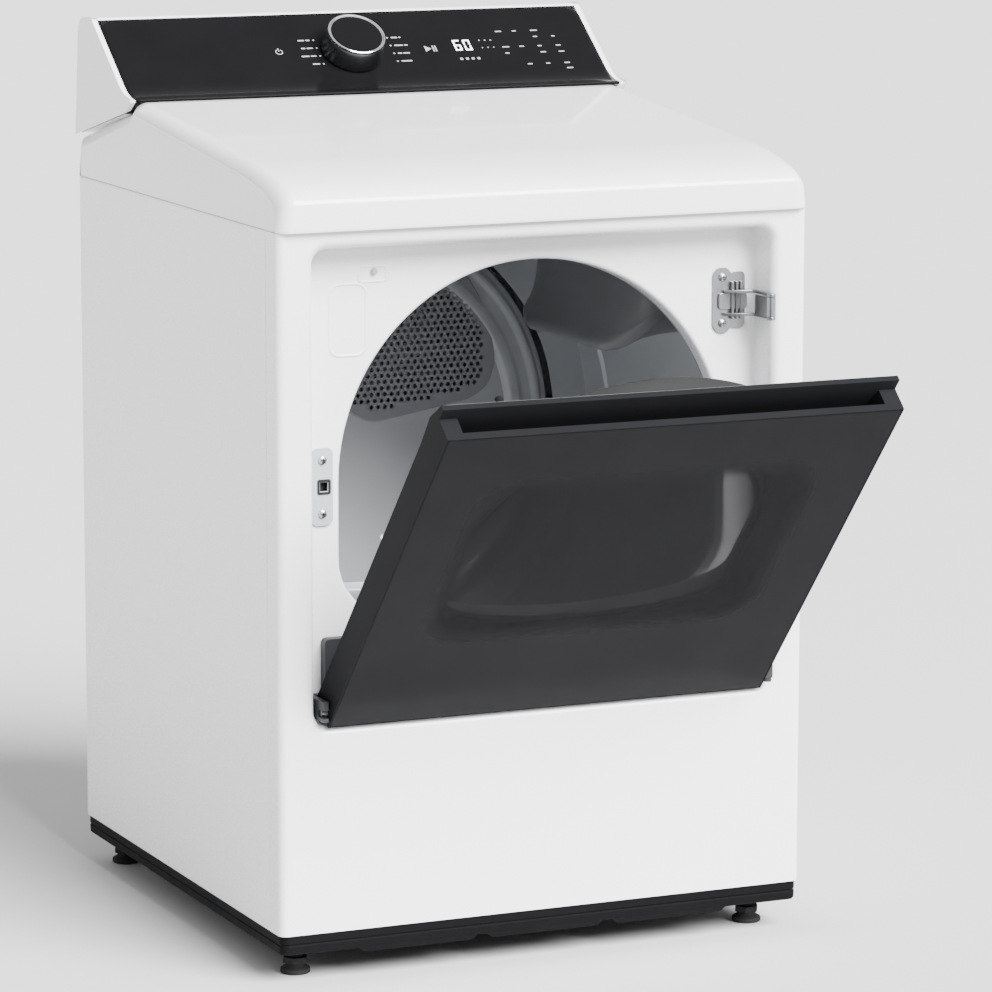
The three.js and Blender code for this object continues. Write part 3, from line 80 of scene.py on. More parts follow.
PANEL_LOW, PANEL_HIGH = corners("front_panel")
SIDE_LOW, SIDE_HIGH = corners("side_panel_right")
COVER_LOW, COVER_HIGH = corners("top_cover")
GLASS_LOW, GLASS_HIGH = corners("console_glass")
DRUM_LOW, DRUM_HIGH = corners("drum")
BASE_LOW, BASE_HIGH = corners("base_tray")
HALF = PANEL_HIGH.x
DEPTH = SIDE_HIGH.y
PIVOT = joint("door_tilt")["place"]
TILT = math.radians(-joint("door_tilt")["range_deg"][0])
DRUM_AXIS = joint("drum_spin")["place"]
KNOB_AXIS = joint("knob_turn")["place"]
KNOB_NORMAL = Vector(joint("knob_turn")["axis"])

CABINET = Matrix.Translation(ORIGIN) @ Matrix.Scale(1 / MM, 4)
DOOR = CABINET @ Matrix.Translation(PIVOT) @ Matrix.Rotation(TILT, 4, "X") @ Matrix.Translation(-PIVOT)
CONSOLE_TURN = Matrix.Rotation(math.atan2(-KNOB_NORMAL.y, KNOB_NORMAL.z), 4, "X")
KNOB_ALONG = 78
CONSOLE_START = Matrix.Translation((-KNOB_AXIS.x, -KNOB_ALONG, 0))
CONSOLE = CABINET @ Matrix.Translation(KNOB_AXIS) @ CONSOLE_TURN @ CONSOLE_START


# ---------- Sizes and colours that a user would change ----------

def length(name, description, millimetres):
    return FloatProperty(name=name, description=description, default=millimetres / MM, unit="LENGTH",
                         precision=4)


def colour(name, description, value):
    return FloatVectorProperty(name=name, description=description, default=value, size=3, min=0, max=1,
                               subtype="COLOR")


class RecessSizes(bpy.types.PropertyGroup):
    """The recess that the door lies in, and the opening behind it."""

    half: length("Half width", "Half of the recess's width at its floor", 297)
    low: length("Lower edge", "Height of the recess's lower edge", 309)
    high: length("Upper edge", "Height of the recess's upper edge", 872)
    corner: length("Corner", "Corner radius of the recess", 18)
    rim: length("Rim", "Radius of the rolled rim round the recess", 12)
    fillet: length("Fillet", "Radius where the recess's wall meets its floor", 8)
    depth: length("Depth", "Depth of the recess", 50)
    opening: length("Opening", "Half width of the opening into the drum", 252)
    centre: length("Opening height", "Height of the middle of the opening's round upper half", 590)
    straight: length("Opening side", "Length of the straight sides of the opening", 95)
    lower: length("Opening foot", "Height of the half ellipse under the opening", 120)
    lip: length("Lip", "Depth of the lip round the opening", 22)
    lip_round: length("Lip radius", "Radius of the opening's rolled edge", 5)


class CabinetSizes(bpy.types.PropertyGroup):
    """The white casing, its cover and the console."""

    corner: length("Corner", "Radius of the casing's upright corners", 10)
    sheet: length("Sheet", "Thickness of the casing's steel", 1)
    cover_round: length("Cover edge", "Radius between the cover's top and its sides", 17)
    cover_draft: length("Cover draft", "How far the cover's sides lean in", 10)
    fascia: length("Fascia", "Height of the cover's upright front", 31)
    console_corner: length("Glass corner", "Radius of the console glass's upper corners", 15)
    knob: length("Knob", "Radius of the knob's face", 37)
    knob_height: length("Knob height", "Height of the knob over the glass", 32)


class DoorSizes(bpy.types.PropertyGroup):
    """The door, measured where it lies closed."""

    half: length("Half width", "Half of the door's width", 284)
    height: length("Height", "Height of the door", 528)
    thickness: length("Thickness", "Depth of the door's frame", 46)
    front: length("Front", "Depth of the pivots behind the door's face", 14)
    rise: length("Rise", "Height of the pivots over the door's lower edge", 12)
    glass: length("Glass", "Thickness of the door's glass", 4)
    plug_inset: length("Plug inset", "Room between the door's plug and the opening", 14)
    plug_reach: length("Plug reach", "How far the plug stands out behind the door", 24)
    window_frame: length("Window frame", "Width of the plug's frame round its window", 46)
    clear_half: length("Clear half width", "Half width of the clear part of the glass", 205)
    clear_low: length("Clear lower edge", "Height of the clear part's lower edge over the door's", 160)
    clear_high: length("Clear upper edge", "Height of the clear part's upper edge over the door's", 432)
    clear_corner: length("Clear corner", "Corner radius of the clear part", 46)


class DrumSizes(bpy.types.PropertyGroup):
    """The drum and what stands in it."""

    rib: length("Rib", "Depth of the drum's rolled ribs", 4)
    sheet: length("Sheet", "Thickness of the drum's steel", 1.1)
    baffle: length("Baffle", "Height of the baffles", 102)
    baffle_foot: length("Baffle foot", "Half width of a baffle at the drum's wall", 56)
    baffle_nose: length("Baffle nose", "Radius of a baffle's edge", 11)
    baffle_count: IntProperty(name="Baffles", description="Number of baffles", default=3, min=1, max=6)
    baffle_angle: FloatProperty(name="First baffle", description="Angle of the first baffle",
                                default=math.radians(41), subtype="ANGLE", unit="ROTATION")
    pitch: length("Hole pitch", "Distance between the holes of the air inlet", 9.4)
    hole: length("Hole", "Radius of the holes of the air inlet", 3.3)


class Finishes(bpy.types.PropertyGroup):
    """Colours of the main finishes."""

    enamel: colour("Enamel", "White paint of the casing", (0.86, 0.865, 0.875))
    shell: colour("Console plastic", "White plastic of the console", (0.85, 0.855, 0.865))
    base: colour("Base", "Black plastic of the base", (0.005, 0.005, 0.0055))
    door: colour("Door", "Charcoal of the door's frame", (0.011, 0.0112, 0.0122))
    liner: colour("Liner", "Grey plastic of the door's liner", (0.24, 0.244, 0.252))
    black_glass: colour("Console glass", "Black of the console's glass", (0.005, 0.005, 0.0055))
    smoke: colour("Door glass", "Black of the door's glass", (0.007, 0.007, 0.0077))
    drum: colour("Drum", "Silver grey of the drum", (0.50, 0.51, 0.525))
    vane: colour("Baffles", "Dark grey of the baffles and the air inlet", (0.18, 0.183, 0.192))
    steel: colour("Steel", "Brushed steel of the hinge and the latch", (0.28, 0.284, 0.29))
    print_: colour("Print", "Pale grey of the marks on the console", (0.30, 0.305, 0.315))


class StudioSettings(bpy.types.PropertyGroup):
    """Lights and camera."""

    lens: FloatProperty(name="Lens", description="Focal length of the camera", default=180.2, unit="CAMERA")
    turn: FloatProperty(name="Turn", description="How far the camera stands to the left of the front",
                        default=math.radians(24.042), subtype="ANGLE", unit="ROTATION")
    stoop: FloatProperty(name="Stoop", description="How far the camera looks down",
                         default=math.radians(9.82), subtype="ANGLE", unit="ROTATION")
    roll: FloatProperty(name="Roll", description="How far the camera is turned about its view",
                        default=math.radians(0.091), subtype="ANGLE", unit="ROTATION")
    stand: FloatVectorProperty(name="Stand",
                               description="Where the camera stands, from the foot of the front",
                               default=(-2.4215, -5.2778, 1.5699), subtype="XYZ", unit="LENGTH")
    ambient: FloatProperty(name="Ambient", description="Strength of the even light from all round",
                           default=0.88)
    key: FloatProperty(name="Key", description="Strength of the soft light from the front", default=16)


class DryerSettings(bpy.types.PropertyGroup):
    """Everything that the dryer's operators read."""

    recess: PointerProperty(type=RecessSizes)
    cabinet: PointerProperty(type=CabinetSizes)
    door: PointerProperty(type=DoorSizes)
    drum: PointerProperty(type=DrumSizes)
    finishes: PointerProperty(type=Finishes)
    studio: PointerProperty(type=StudioSettings)


class Measures:
    """A group's lengths in millimetres, read by name."""

    def __init__(self, group_name):
        self._group = getattr(bpy.context.scene.dryer, group_name)

    def __getattr__(self, name):
        return getattr(self._group, name) * MM


# ---------- Materials ----------

class Wire:
    """A socket of a material; sums and products of wires add Math nodes."""

    def __init__(self, look, socket):
        self.look = look
        self.socket = socket

    def math(self, operation, other=0.0, swap=False, clamp=False):
        pair = (other, self) if swap else (self, other)
        return self.look.node("ShaderNodeMath", {"operation": operation, "use_clamp": clamp},
                              dict(enumerate(pair)))

    def __add__(self, other):
        return self.math("ADD", other)

    __radd__ = __add__

    def __sub__(self, other):
        return self.math("SUBTRACT", other)

    def __rsub__(self, other):
        return self.math("SUBTRACT", other, swap=True)

    def __mul__(self, other):
        return self.math("MULTIPLY", other)

    __rmul__ = __mul__

    def __truediv__(self, other):
        return self.math("DIVIDE", other)

    def clamped(self):
        return self.math("ADD", 0.0, clamp=True)

    def size(self):
        return self.math("ABSOLUTE")

    def highest(self, other):
        return self.math("MAXIMUM", other)

    def power(self, exponent):
        return self.math("POWER", exponent)


class Look:
    """A material under construction round one Principled shader."""

    def __init__(self, name, **sockets):
        self.material = bpy.data.materials.new(name)
        self.material.use_nodes = True
        self.tree = self.material.node_tree
        self.shader = self.tree.nodes["Principled BSDF"]
        self.feed(**sockets)

    def node(self, kind, settings=None, sockets=None, output=0):
        made = self.tree.nodes.new(kind)
        for name, value in (settings or {}).items():
            if name == "stops":
                self._ramp(made, value)
            else:
                setattr(made, name, value)
        for name, value in (sockets or {}).items():
            self.put(value, made.inputs[name])
        return Wire(self, made.outputs[output])

    def _ramp(self, made, stops):
        elements = made.color_ramp.elements
        while len(elements) < len(stops):
            elements.new(0.5)
        for element, (place, value) in zip(elements, stops):
            element.position = place
            element.color = (*value, 1)

    def put(self, value, socket):
        if isinstance(value, Wire):
            self.tree.links.new(value.socket, socket)
        elif hasattr(value, "__len__") and len(value) == 3 and len(socket.default_value) == 4:
            socket.default_value = (*value, 1)
        else:
            socket.default_value = value

    def feed(self, **sockets):
        for name, value in sockets.items():
            self.put(value, self.shader.inputs[name.replace("_", " ")])
        return self

    def place(self):
        return self.node("ShaderNodeTexCoord", output="Object")

    def noise(self, scale, detail=2.0, stretch=None):
        where = self.place()
        if stretch:
            where = self.node("ShaderNodeVectorMath", {"operation": "MULTIPLY"}, {0: where, 1: stretch})
        return self.node("ShaderNodeTexNoise", {}, {"Vector": where, "Scale": scale, "Detail": detail})

    def cells(self, scale, output="Distance"):
        return self.node("ShaderNodeTexVoronoi", {}, {"Vector": self.place(), "Scale": scale}, output=output)

    def mix(self, factor, first, second):
        first = (*first, 1) if not isinstance(first, Wire) else first
        second = (*second, 1) if not isinstance(second, Wire) else second
        return self.node("ShaderNodeMix", {"data_type": "RGBA"}, {0: factor, 6: first, 7: second}, output=2)

    def relief(self, height, strength=1.0):
        """Bumps the surface by a height in metres."""
        bump = self.node("ShaderNodeBump", {}, {"Strength": strength, "Distance": 1.0, "Height": height})
        return self.feed(Normal=bump)


def shade(value, factor):
    """A colour made lighter or darker."""
    return tuple(min(part * factor, 1.0) for part in value)


def enamel(value):
    """Gloss white paint on sheet steel: fine orange peel over slight waves in the sheet."""
    look = Look("enamel", Specular_IOR_Level=0.42, Coat_Weight=0.25, Coat_Roughness=0.06)
    peel = look.noise(520, 1)
    sway = look.noise(3.1, 1)
    look.feed(Base_Color=look.mix(sway, shade(value, 0.985), value), Roughness=0.22 + peel * 0.1)
    return look.relief(peel * 0.000012 + sway * 0.0009)


def cover_enamel(value):
    look = Look("cover_enamel", Specular_IOR_Level=0.5, Coat_Weight=0.45, Coat_Roughness=0.05)
    peel = look.noise(600, 1)
    look.feed(Base_Color=look.mix(look.noise(4, 1), shade(value, 0.99), value), Roughness=0.2 + peel * 0.08)
    return look.relief(peel * 0.000008)


def gloss_plastic(value):
    look = Look("white_plastic", Specular_IOR_Level=0.45)
    grain = look.noise(900, 2)
    look.feed(Base_Color=look.mix(look.noise(12), shade(value, 0.985), value), Roughness=0.24 + grain * 0.08)
    return look.relief(grain * 0.000006)


def moulded(name, value, roughness=0.42, specular=0.35, texture=0.00003):
    """Moulded plastic with a fine spark-eroded texture and slightly uneven sheen."""
    look = Look(name, Specular_IOR_Level=specular)
    grain = look.noise(1500, 2)
    cloud = look.noise(14, 3)
    look.feed(Base_Color=look.mix(cloud, shade(value, 0.88), shade(value, 1.1)),
              Roughness=roughness - 0.05 + cloud * 0.06 + grain * 0.06)
    return look.relief(grain * texture)


def rubber(name, value):
    look = Look(name, Specular_IOR_Level=0.25)
    grain = look.noise(700, 3)
    look.feed(Base_Color=look.mix(grain, shade(value, 0.8), shade(value, 1.3)), Roughness=0.72 + grain * 0.15)
    return look.relief(grain * 0.00006)


def brushed(name, value, roughness=0.3, stretch=(40, 1, 1), scale=60):
    """Brushed metal with its grain across one direction."""
    look = Look(name, Metallic=1.0)
    grain = look.noise(scale, 4, stretch)
    smear = look.noise(9, 2)
    look.feed(Base_Color=look.mix(grain, shade(value, 0.86), shade(value, 1.08)),
              Roughness=roughness - 0.05 + grain * 0.12 + smear * 0.06)
    return look.relief(grain * 0.000012)


def polished(name, value):
    look = Look(name, Metallic=1.0)
    smear = look.noise(30, 3)
    look.feed(Base_Color=look.mix(smear, shade(value, 0.95), value), Roughness=0.08 + smear * 0.1)
    return look


def galvanised(name, value):
    """Zinc-coated sheet with its spangle."""
    look = Look(name, Metallic=0.85)
    spangle = look.cells(95, "Color")
    tone = look.node("ShaderNodeSeparateColor", {}, {0: spangle})
    look.feed(Base_Color=look.mix(tone, shade(value, 0.78), shade(value, 1.12)), Roughness=0.34 + tone * 0.22)
    return look.relief(look.noise(160, 2) * 0.00004)


def drum_steel(value):
    """Silver-grey coated steel with a fine fleck."""
    look = Look("drum_coating", Metallic=0.35, Specular_IOR_Level=0.5)
    fleck = look.noise(1300, 1)
    wear = look.noise(7, 4)
    look.feed(Base_Color=look.mix(wear, shade(value, 0.93), shade(value, 1.04)),
              Roughness=0.3 + wear * 0.1 + fleck * 0.08)
    return look.relief(fleck * 0.00001 + wear * 0.0003)


def black_glass(value):
    look = Look("console_black_glass", Specular_IOR_Level=0.03)
    smudge = look.noise(16, 4)
    look.feed(Base_Color=look.mix(smudge, shade(value, 0.85), shade(value, 1.2)),
              Roughness=0.09 + smudge * 0.08)
    return look


# Width in metres over which the door glass's black print fades, and how much its clear part lets through
CLEAR_EDGE = 0.03
CLEAR_SHARE = 0.42


def smoked_glass(value):
    """Dark glass, printed black round a clear part that lets the liner show."""
    look = Look("door_smoked_glass", Specular_IOR_Level=0.04)
    door = Measures("door")
    back = Matrix.Rotation(-TILT, 4, "X")
    shift = -(back @ (PIVOT / MM + ORIGIN))
    flat = look.node("ShaderNodeMapping", {}, {"Vector": look.place(), "Location": shift,
                                               "Rotation": (-TILT, 0, 0)})
    across = look.node("ShaderNodeSeparateXYZ", {}, {0: flat}, output=0)
    up = look.node("ShaderNodeSeparateXYZ", {}, {0: flat}, output=2)
    middle = ((door.clear_low + door.clear_high) / 2 - door.rise) / MM
    half_high = (door.clear_high - door.clear_low) / 2 / MM
    corner = door.clear_corner / MM
    over_x = (across.size() - (door.clear_half / MM - corner)).highest(0.0)
    over_z = ((up - middle).size() - (half_high - corner)).highest(0.0)
    outside = (over_x * over_x + over_z * over_z).power(0.5) - corner
    clear = (0.5 - outside / CLEAR_EDGE).clamped()
    smudge = look.noise(11, 4)
    look.feed(Base_Color=look.mix(smudge, shade(value, 0.85), shade(value, 1.25)),
              Roughness=0.1 + smudge * 0.08, Alpha=1 - clear * CLEAR_SHARE)
    return look


def clear_pane(value):
    look = Look("inner_window_glass", Specular_IOR_Level=0.1)
    smear = look.noise(8, 3)
    look.feed(Base_Color=value, Roughness=0.06 + smear * 0.06, Alpha=0.5)
    return look


def print_with_glow(value):
    # Painted glow: the print gives off a faint light of its own colour, though it is ink on glass and no lamp
    look = Look("console_print", Specular_IOR_Level=0.2, Emission_Strength=0.1)
    grain = look.noise(2000, 1)
    tone = look.mix(grain, shade(value, 0.9), value)
    return look.feed(Base_Color=tone, Emission_Color=tone, Roughness=0.5 + grain * 0.1)


def lit(value):
    look = Look("lit_digits", Emission_Strength=2.6)
    glow = look.noise(900, 1)
    tone = look.mix(glow, shade(value, 0.92), value)
    return look.feed(Base_Color=tone, Emission_Color=tone, Roughness=0.4)


def circuit(value):
    look = Look("circuit_board", Specular_IOR_Level=0.5)
    tracks = look.cells(260)
    look.feed(Base_Color=look.mix(tracks, shade(value, 0.6), shade(value, 1.5)), Roughness=0.3 + tracks * 0.2)
    return look.relief(tracks * 0.00005)


def floor_paint(value):
    look = Look("studio_floor", Specular_IOR_Level=0.1)
    drift = look.noise(0.8, 2)
    return look.feed(Base_Color=look.mix(drift, shade(value, 0.99), value), Roughness=0.65 + drift * 0.1)


def finishes():
    """What makes each material, by the finish's name."""
    chosen = bpy.context.scene.dryer.finishes
    return {
        "enamel": lambda: enamel(chosen.enamel),
        "cover_enamel": lambda: cover_enamel(chosen.enamel),
        "shell": lambda: gloss_plastic(chosen.shell),
        "base": lambda: moulded("base_plastic", chosen.base, 0.5, 0.03, 0.00005),
        "bracket": lambda: moulded("bracket_coating", (0.03, 0.031, 0.034), 0.4, 0.2),
        "charcoal": lambda: moulded("door_charcoal", chosen.door, 0.42, 0.01),
        "dome": lambda: moulded("dome_charcoal", (0.03, 0.03, 0.033), 0.3, 0.3),
        "liner": lambda: moulded("liner_plastic", chosen.liner, 0.4, 0.25),
        "vane": lambda: moulded("vane_plastic", chosen.vane, 0.38, 0.4),
        # Painted light: the air inlet is the baffles' own plastic made 1.6 times lighter, standing in for
        # light falling on it at the back of the drum
        "inlet": lambda: moulded("inlet_plastic", shade(chosen.vane, 1.6), 0.4, 0.4),
        "plastic": lambda: moulded("inner_plastic", (0.09, 0.09, 0.095), 0.45),
        "latch": lambda: moulded("latch_plastic", (0.40, 0.408, 0.424), 0.35, 0.4),
        "dark": lambda: moulded("dark_plastic", (0.014, 0.014, 0.015), 0.45, 0.3),
        "knob_side": lambda: brushed("knob_side", (0.10, 0.103, 0.11), 0.3, (1, 1, 30)),
        "steel": lambda: brushed("hinge_steel", chosen.steel, 0.28),
        "zinc": lambda: brushed("zinc_screws", (0.55, 0.56, 0.57), 0.25, (1, 1, 1), 300),
        "chrome": lambda: polished("chrome", (0.78, 0.79, 0.80)),
        "drum": lambda: drum_steel(chosen.drum),
        "galvanised": lambda: galvanised("galvanised_sheet", (0.52, 0.54, 0.55)),
        "aluminium": lambda: galvanised("cast_aluminium", (0.50, 0.505, 0.51)),
        "heater": lambda: brushed("heater_wire", (0.35, 0.30, 0.26), 0.5, (1, 1, 1), 200),
        "black_glass": lambda: black_glass(chosen.black_glass),
        "smoked": lambda: smoked_glass(chosen.smoke),
        "pane": lambda: clear_pane((0.03, 0.03, 0.032)),
        "print": lambda: print_with_glow(chosen.print_),
        "lit": lambda: lit((0.95, 0.97, 1.0)),
        "board": lambda: circuit((0.04, 0.16, 0.07)),
        "rubber": lambda: rubber("rubber", (0.014, 0.014, 0.014)),
        "seal": lambda: rubber("seal_rubber", (0.012, 0.012, 0.0125)),
        "floor": lambda: floor_paint((0.58, 0.58, 0.583)),
    }


MADE = {}


def finish(name):
    """The material of a finish, made when it is first asked for."""
    if name not in MADE:
        MADE[name] = finishes()[name]().material
    return MADE[name]


# ---------- Outlines ----------

def arc(x, y, radius, start, end, steps=8):
    """Points of an arc, its angles in degrees."""
    turns = [math.radians(start + (end - start) * k / steps) for k in range(steps + 1)]
    return [(x + radius * math.cos(a), y + radius * math.sin(a)) for a in turns]


def rounded(x0, x1, y0, y1, r, steps=6):
    """A rectangle with round corners, counterclockwise."""
    return [*arc(x1 - r, y0 + r, r, -90, 0, steps), *arc(x1 - r, y1 - r, r, 0, 90, steps),
            *arc(x0 + r, y1 - r, r, 90, 180, steps), *arc(x0 + r, y0 + r, r, 180, 270, steps)]


def bezier(p0, p1, p2, p3, steps):
    found = []
    for k in range(steps + 1):
        t = k / steps
        u = 1 - t
        weights = (u ** 3, 3 * u * u * t, 3 * u * t * t, t ** 3)
        found.append(tuple(sum(w * p[i] for w, p in zip(weights, (p0, p1, p2, p3))) for i in (0, 1)))
    return found


def softened(outline, r, steps=5):
    """A polygon whose corners are rounded, each by r or by what its sides allow."""
    found = []
    count = len(outline)
    for i, point in enumerate(outline):
        here = Vector(point)
        before = Vector(outline[i - 1]) - here
        after = Vector(outline[(i + 1) % count]) - here
        reach = min(r, before.length * 0.45, after.length * 0.45)
        start = here + before.normalized() * reach
        end = here + after.normalized() * reach
        for k in range(steps + 1):
            t = k / steps
            found.append(tuple(start * (1 - t) ** 2 + here * 2 * t * (1 - t) + end * t * t))
    return found


def offset(path, distance):
    """An open path moved to its left by a distance."""
    points = [Vector(p) for p in path]
    ways = [(b - a).normalized() for a, b in zip(points, points[1:])]
    moved = []
    for i, point in enumerate(points):
        before = ways[max(i - 1, 0)]
        after = ways[min(i, len(ways) - 1)]
        middle = (before + after).normalized()
        side = Vector((-middle.y, middle.x))
        moved.append(tuple(point + side * (distance / max(0.3, middle.dot(after)))))
    return moved


def quarter(steps):
    """Angles of a quarter turn, in even steps."""
    return [k / steps * math.pi / 2 for k in range(steps + 1)]


# ---------- Meshes ----------

class Skin:
    """Points and faces gathered in millimetres and made into one piece."""

    def __init__(self):
        self.points = []
        self.faces = []

    def add(self, points):
        start = len(self.points)
        self.points.extend(tuple(p) for p in points)
        return range(start, len(self.points))

    def bridge(self, first, second, closed=True):
        """Quads between two rows of points; they face the side that the front of a sheet faces."""
        count = len(first)
        for k in range(count if closed else count - 1):
            n = (k + 1) % count
            self.faces.append((first[k], first[n], second[n], second[k]))

    def loft(self, rings, closed=True, caps=False):
        rows = [self.add(ring) for ring in rings]
        for first, second in zip(rows, rows[1:]):
            self.bridge(first, second, closed)
        if caps:
            self.faces.append(tuple(reversed(rows[0])))
            self.faces.append(tuple(rows[-1]))
        return rows

    def prism(self, outline, low, high, axis="Y"):
        """A solid of an even section between two planes square to an axis."""
        place = {
            "X": lambda u, v, w: (w, u, v),
            "Y": lambda u, v, w: (u, w, v),
            "Z": lambda u, v, w: (u, v, w),
        }[axis]
        self.loft([[place(u, v, w) for u, v in outline] for w in (low, high)], caps=True)

    def block(self, x0, x1, y0, y1, z0, z1):
        self.prism([(x0, y0), (x1, y0), (x1, y1), (x0, y1)], z0, z1, "Z")

    def turned(self, profile, x, z, steps=64, axis="Y", closed=False):
        """A turned body; the profile holds (radius, depth) pairs."""
        place = {"Y": lambda c, s, d: (x + c, d, z + s), "Z": lambda c, s, d: (x + c, z + s, d)}[axis]
        ring = [k / steps * 2 * math.pi for k in range(steps)]
        rows = [[place(r * math.cos(a), r * math.sin(a), d) for a in ring] for r, d in profile]
        if closed:
            rows.append(rows[0])
        self.loft(rows)

    def mesh(self, name, place, outward=True):
        mesh = bpy.data.meshes.new(name)
        mesh.from_pydata(self.points, [], self.faces)
        return clean(mesh, place, outward)


def clean(mesh, place, outward=True):
    shape = bmesh.new()
    shape.from_mesh(mesh)
    bmesh.ops.remove_doubles(shape, verts=shape.verts, dist=0.002)
    bmesh.ops.dissolve_degenerate(shape, edges=shape.edges, dist=0.001)
    if outward:
        bmesh.ops.recalc_face_normals(shape, faces=shape.faces)
    shape.to_mesh(mesh)
    shape.free()
    mesh.transform(place)
    return mesh


def punched(mesh, low, high):
    """Cuts a rectangular hole in X and Z through a sheet, where the sheet lies between two corners."""
    shape = bmesh.new()
    shape.from_mesh(mesh)
    for axis, corner in ((0, low), (0, high), (2, low), (2, high)):
        normal = Vector((axis == 0, 0, axis == 2))
        near = [face for face in shape.faces if low.y < face.calc_center_median().y < high.y
                and (face.calc_center_median() - (low + high) / 2).length < 3 * (high - low).length]
        edges = {edge for face in near for edge in face.edges}
        bmesh.ops.bisect_plane(shape, geom=[*near, *edges], plane_co=corner, plane_no=normal)
    inside = [face for face in shape.faces
              if all(low[i] < face.calc_center_median()[i] < high[i] for i in range(3))]
    bmesh.ops.delete(shape, geom=inside, context="FACES")
    shape.to_mesh(mesh)
    shape.free()
    return mesh


def pierced(name, outline, holes, thickness, place, edge=0.3):
    """A flat plate in X and Y, from Z = 0 up, with holes through it and slightly rounded edges."""
    curve = bpy.data.curves.new(name, "CURVE")
    curve.dimensions = "2D"
    curve.fill_mode = "BOTH"
    curve.extrude = thickness / 2 - edge
    curve.bevel_depth = edge
    curve.bevel_resolution = 1
    for loop in [outline, *holes]:
        spline = curve.splines.new("POLY")
        spline.points.add(len(loop) - 1)
        spline.use_cyclic_u = True
        for point, (x, y) in zip(spline.points, loop):
            point.co = (x, y, 0, 1)
    holder = bpy.data.objects.new(name, curve)
    mesh = bpy.data.meshes.new_from_object(holder)
    bpy.data.objects.remove(holder)
    bpy.data.curves.remove(curve)
    return clean(mesh, place @ Matrix.Translation((0, 0, thickness / 2)))


def upright(x, y, z):
    """Turns a plate drawn in X and Y to stand in X and Z, its face to the front at depth y."""
    mirror = Matrix.Scale(-1, 4, (0, 0, 1))
    return Matrix.Translation((x, y, z)) @ Matrix.Rotation(math.pi / 2, 4, "X") @ mirror


def piece(mesh, body, look, replaces=(), bevel=0.0, sheet=0.0, angle=35, even=True):
    """Puts a mesh in the scene as a piece that rides a body."""
    made = bpy.data.objects.new(mesh.name, mesh)
    bpy.context.scene.collection.objects.link(made)
    mesh.materials.append(finish(look))
    mesh.shade_smooth()
    mesh.set_sharp_from_angle(angle=math.radians(angle))
    if sheet:
        solid = made.modifiers.new("sheet", "SOLIDIFY")
        solid.thickness = sheet / MM
        solid.offset = -1
        solid.use_even_offset = even
    dress(made, bevel)
    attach(made, body)
    if replaces:
        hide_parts(*replaces)
    return made


def dress(made, bevel):
    """Rounds a piece's hard edges and steadies the shading of its flat faces."""
    if bevel:
        edge = made.modifiers.new("edge", "BEVEL")
        edge.width = bevel / MM
        edge.segments = 2
        edge.limit_method = "ANGLE"
        edge.angle_limit = math.radians(32)
        edge.harden_normals = True
    weight = made.modifiers.new("shading", "WEIGHTED_NORMAL")
    weight.keep_sharp = True
    weight.mode = "FACE_AREA"


def keep(node, look, bevel=0.6):
    """Gives a CAD node its material and rounded edges."""
    made = frame["nodes"][node]
    made.data.materials.clear()
    made.data.materials.append(finish(look))
    made.data.set_sharp_from_angle(angle=math.radians(30))
    if bevel:
        flat = made.modifiers.new("flat faces", "DECIMATE")
        flat.decimate_type = "DISSOLVE"
        flat.angle_limit = math.radians(0.5)
    dress(made, bevel)
    return made


def screw_head(skin, x, z, y, radius=5.5):
    """A pan head, its top towards the front; its cross recess is not cut but painted over it as a dark cross
    of shade.
    """
    dome = [(0, -3.2), (radius * 0.35, -3.1), (radius * 0.7, -2.6), (radius * 0.95, -1.4), (radius, 0),
            (radius, 0.6)]
    skin.turned([(r, y + d) for r, d in dome], x, z, 28)


def cross_recess_shade(skin, x, z, y, reach=3.0, wide=0.55):
    # Painted shade: a thin dark cross stands proud of the head in place of the shade inside the cross recess
    for half_x, half_z in ((reach, wide), (wide, reach)):
        skin.block(x - half_x, x + half_x, y - 3.35, y - 2.6, z - half_z, z + half_z)


# ---------- Rings of the pressed sheets ----------

CORNER_STEPS = 8
SIDE_STEPS = 30


def rect_ring(half, low, high, radius, y, middle=0.0):
    """A rounded rectangle in X and Z at depth y, counterclockwise from the right side's upper end."""
    centres = ((half - radius, high - radius, 0), (-half + radius, high - radius, 90),
               (-half + radius, low + radius, 180), (half - radius, low + radius, 270))
    corner_points = [arc(x + middle, z, radius, turn, turn + 90, CORNER_STEPS) for x, z, turn in centres]
    ring = []
    for i, points in enumerate(corner_points):
        ring.extend(points)
        (x0, z0), (x1, z1) = points[-1], corner_points[(i + 1) % 4][0]
        ring.extend((x0 + (x1 - x0) * k / SIDE_STEPS, z0 + (z1 - z0) * k / SIDE_STEPS)
                    for k in range(1, SIDE_STEPS))
    return [(x, y, z) for x, z in ring]


def ring_angles(recess):
    ring = rect_ring(recess.half, recess.low, recess.high, recess.corner, 0)
    return [math.atan2(z - recess.centre, x) for x, _, z in ring]


def opening_reach(recess, angle, grow):
    """The opening's reach at an angle: round above, straight at the sides, a half ellipse below."""
    across = recess.opening + grow
    lower = recess.lower + grow
    straight = recess.straight
    c, s = math.cos(angle), math.sin(angle)
    if s >= 0:
        return across
    if abs(c) > 1e-6 and -s * across / abs(c) <= straight:
        return across / abs(c)
    p = (c / across) ** 2 + (s / lower) ** 2
    q = s * straight / lower ** 2
    r = (straight / lower) ** 2 - 1
    return (-q + math.sqrt(q * q - p * r)) / p


def opening_ring(recess, inset, y):
    found = []
    for angle in ring_angles(recess):
        reach = opening_reach(recess, angle, -inset)
        found.append((DRUM_AXIS.x + reach * math.cos(angle), y, recess.centre + reach * math.sin(angle)))
    return found


def circle_ring(recess, radius, y):
    return [(DRUM_AXIS.x + radius * math.cos(a), y, DRUM_AXIS.z + radius * math.sin(a))
            for a in ring_angles(recess)]


# ---------- Base and feet ----------

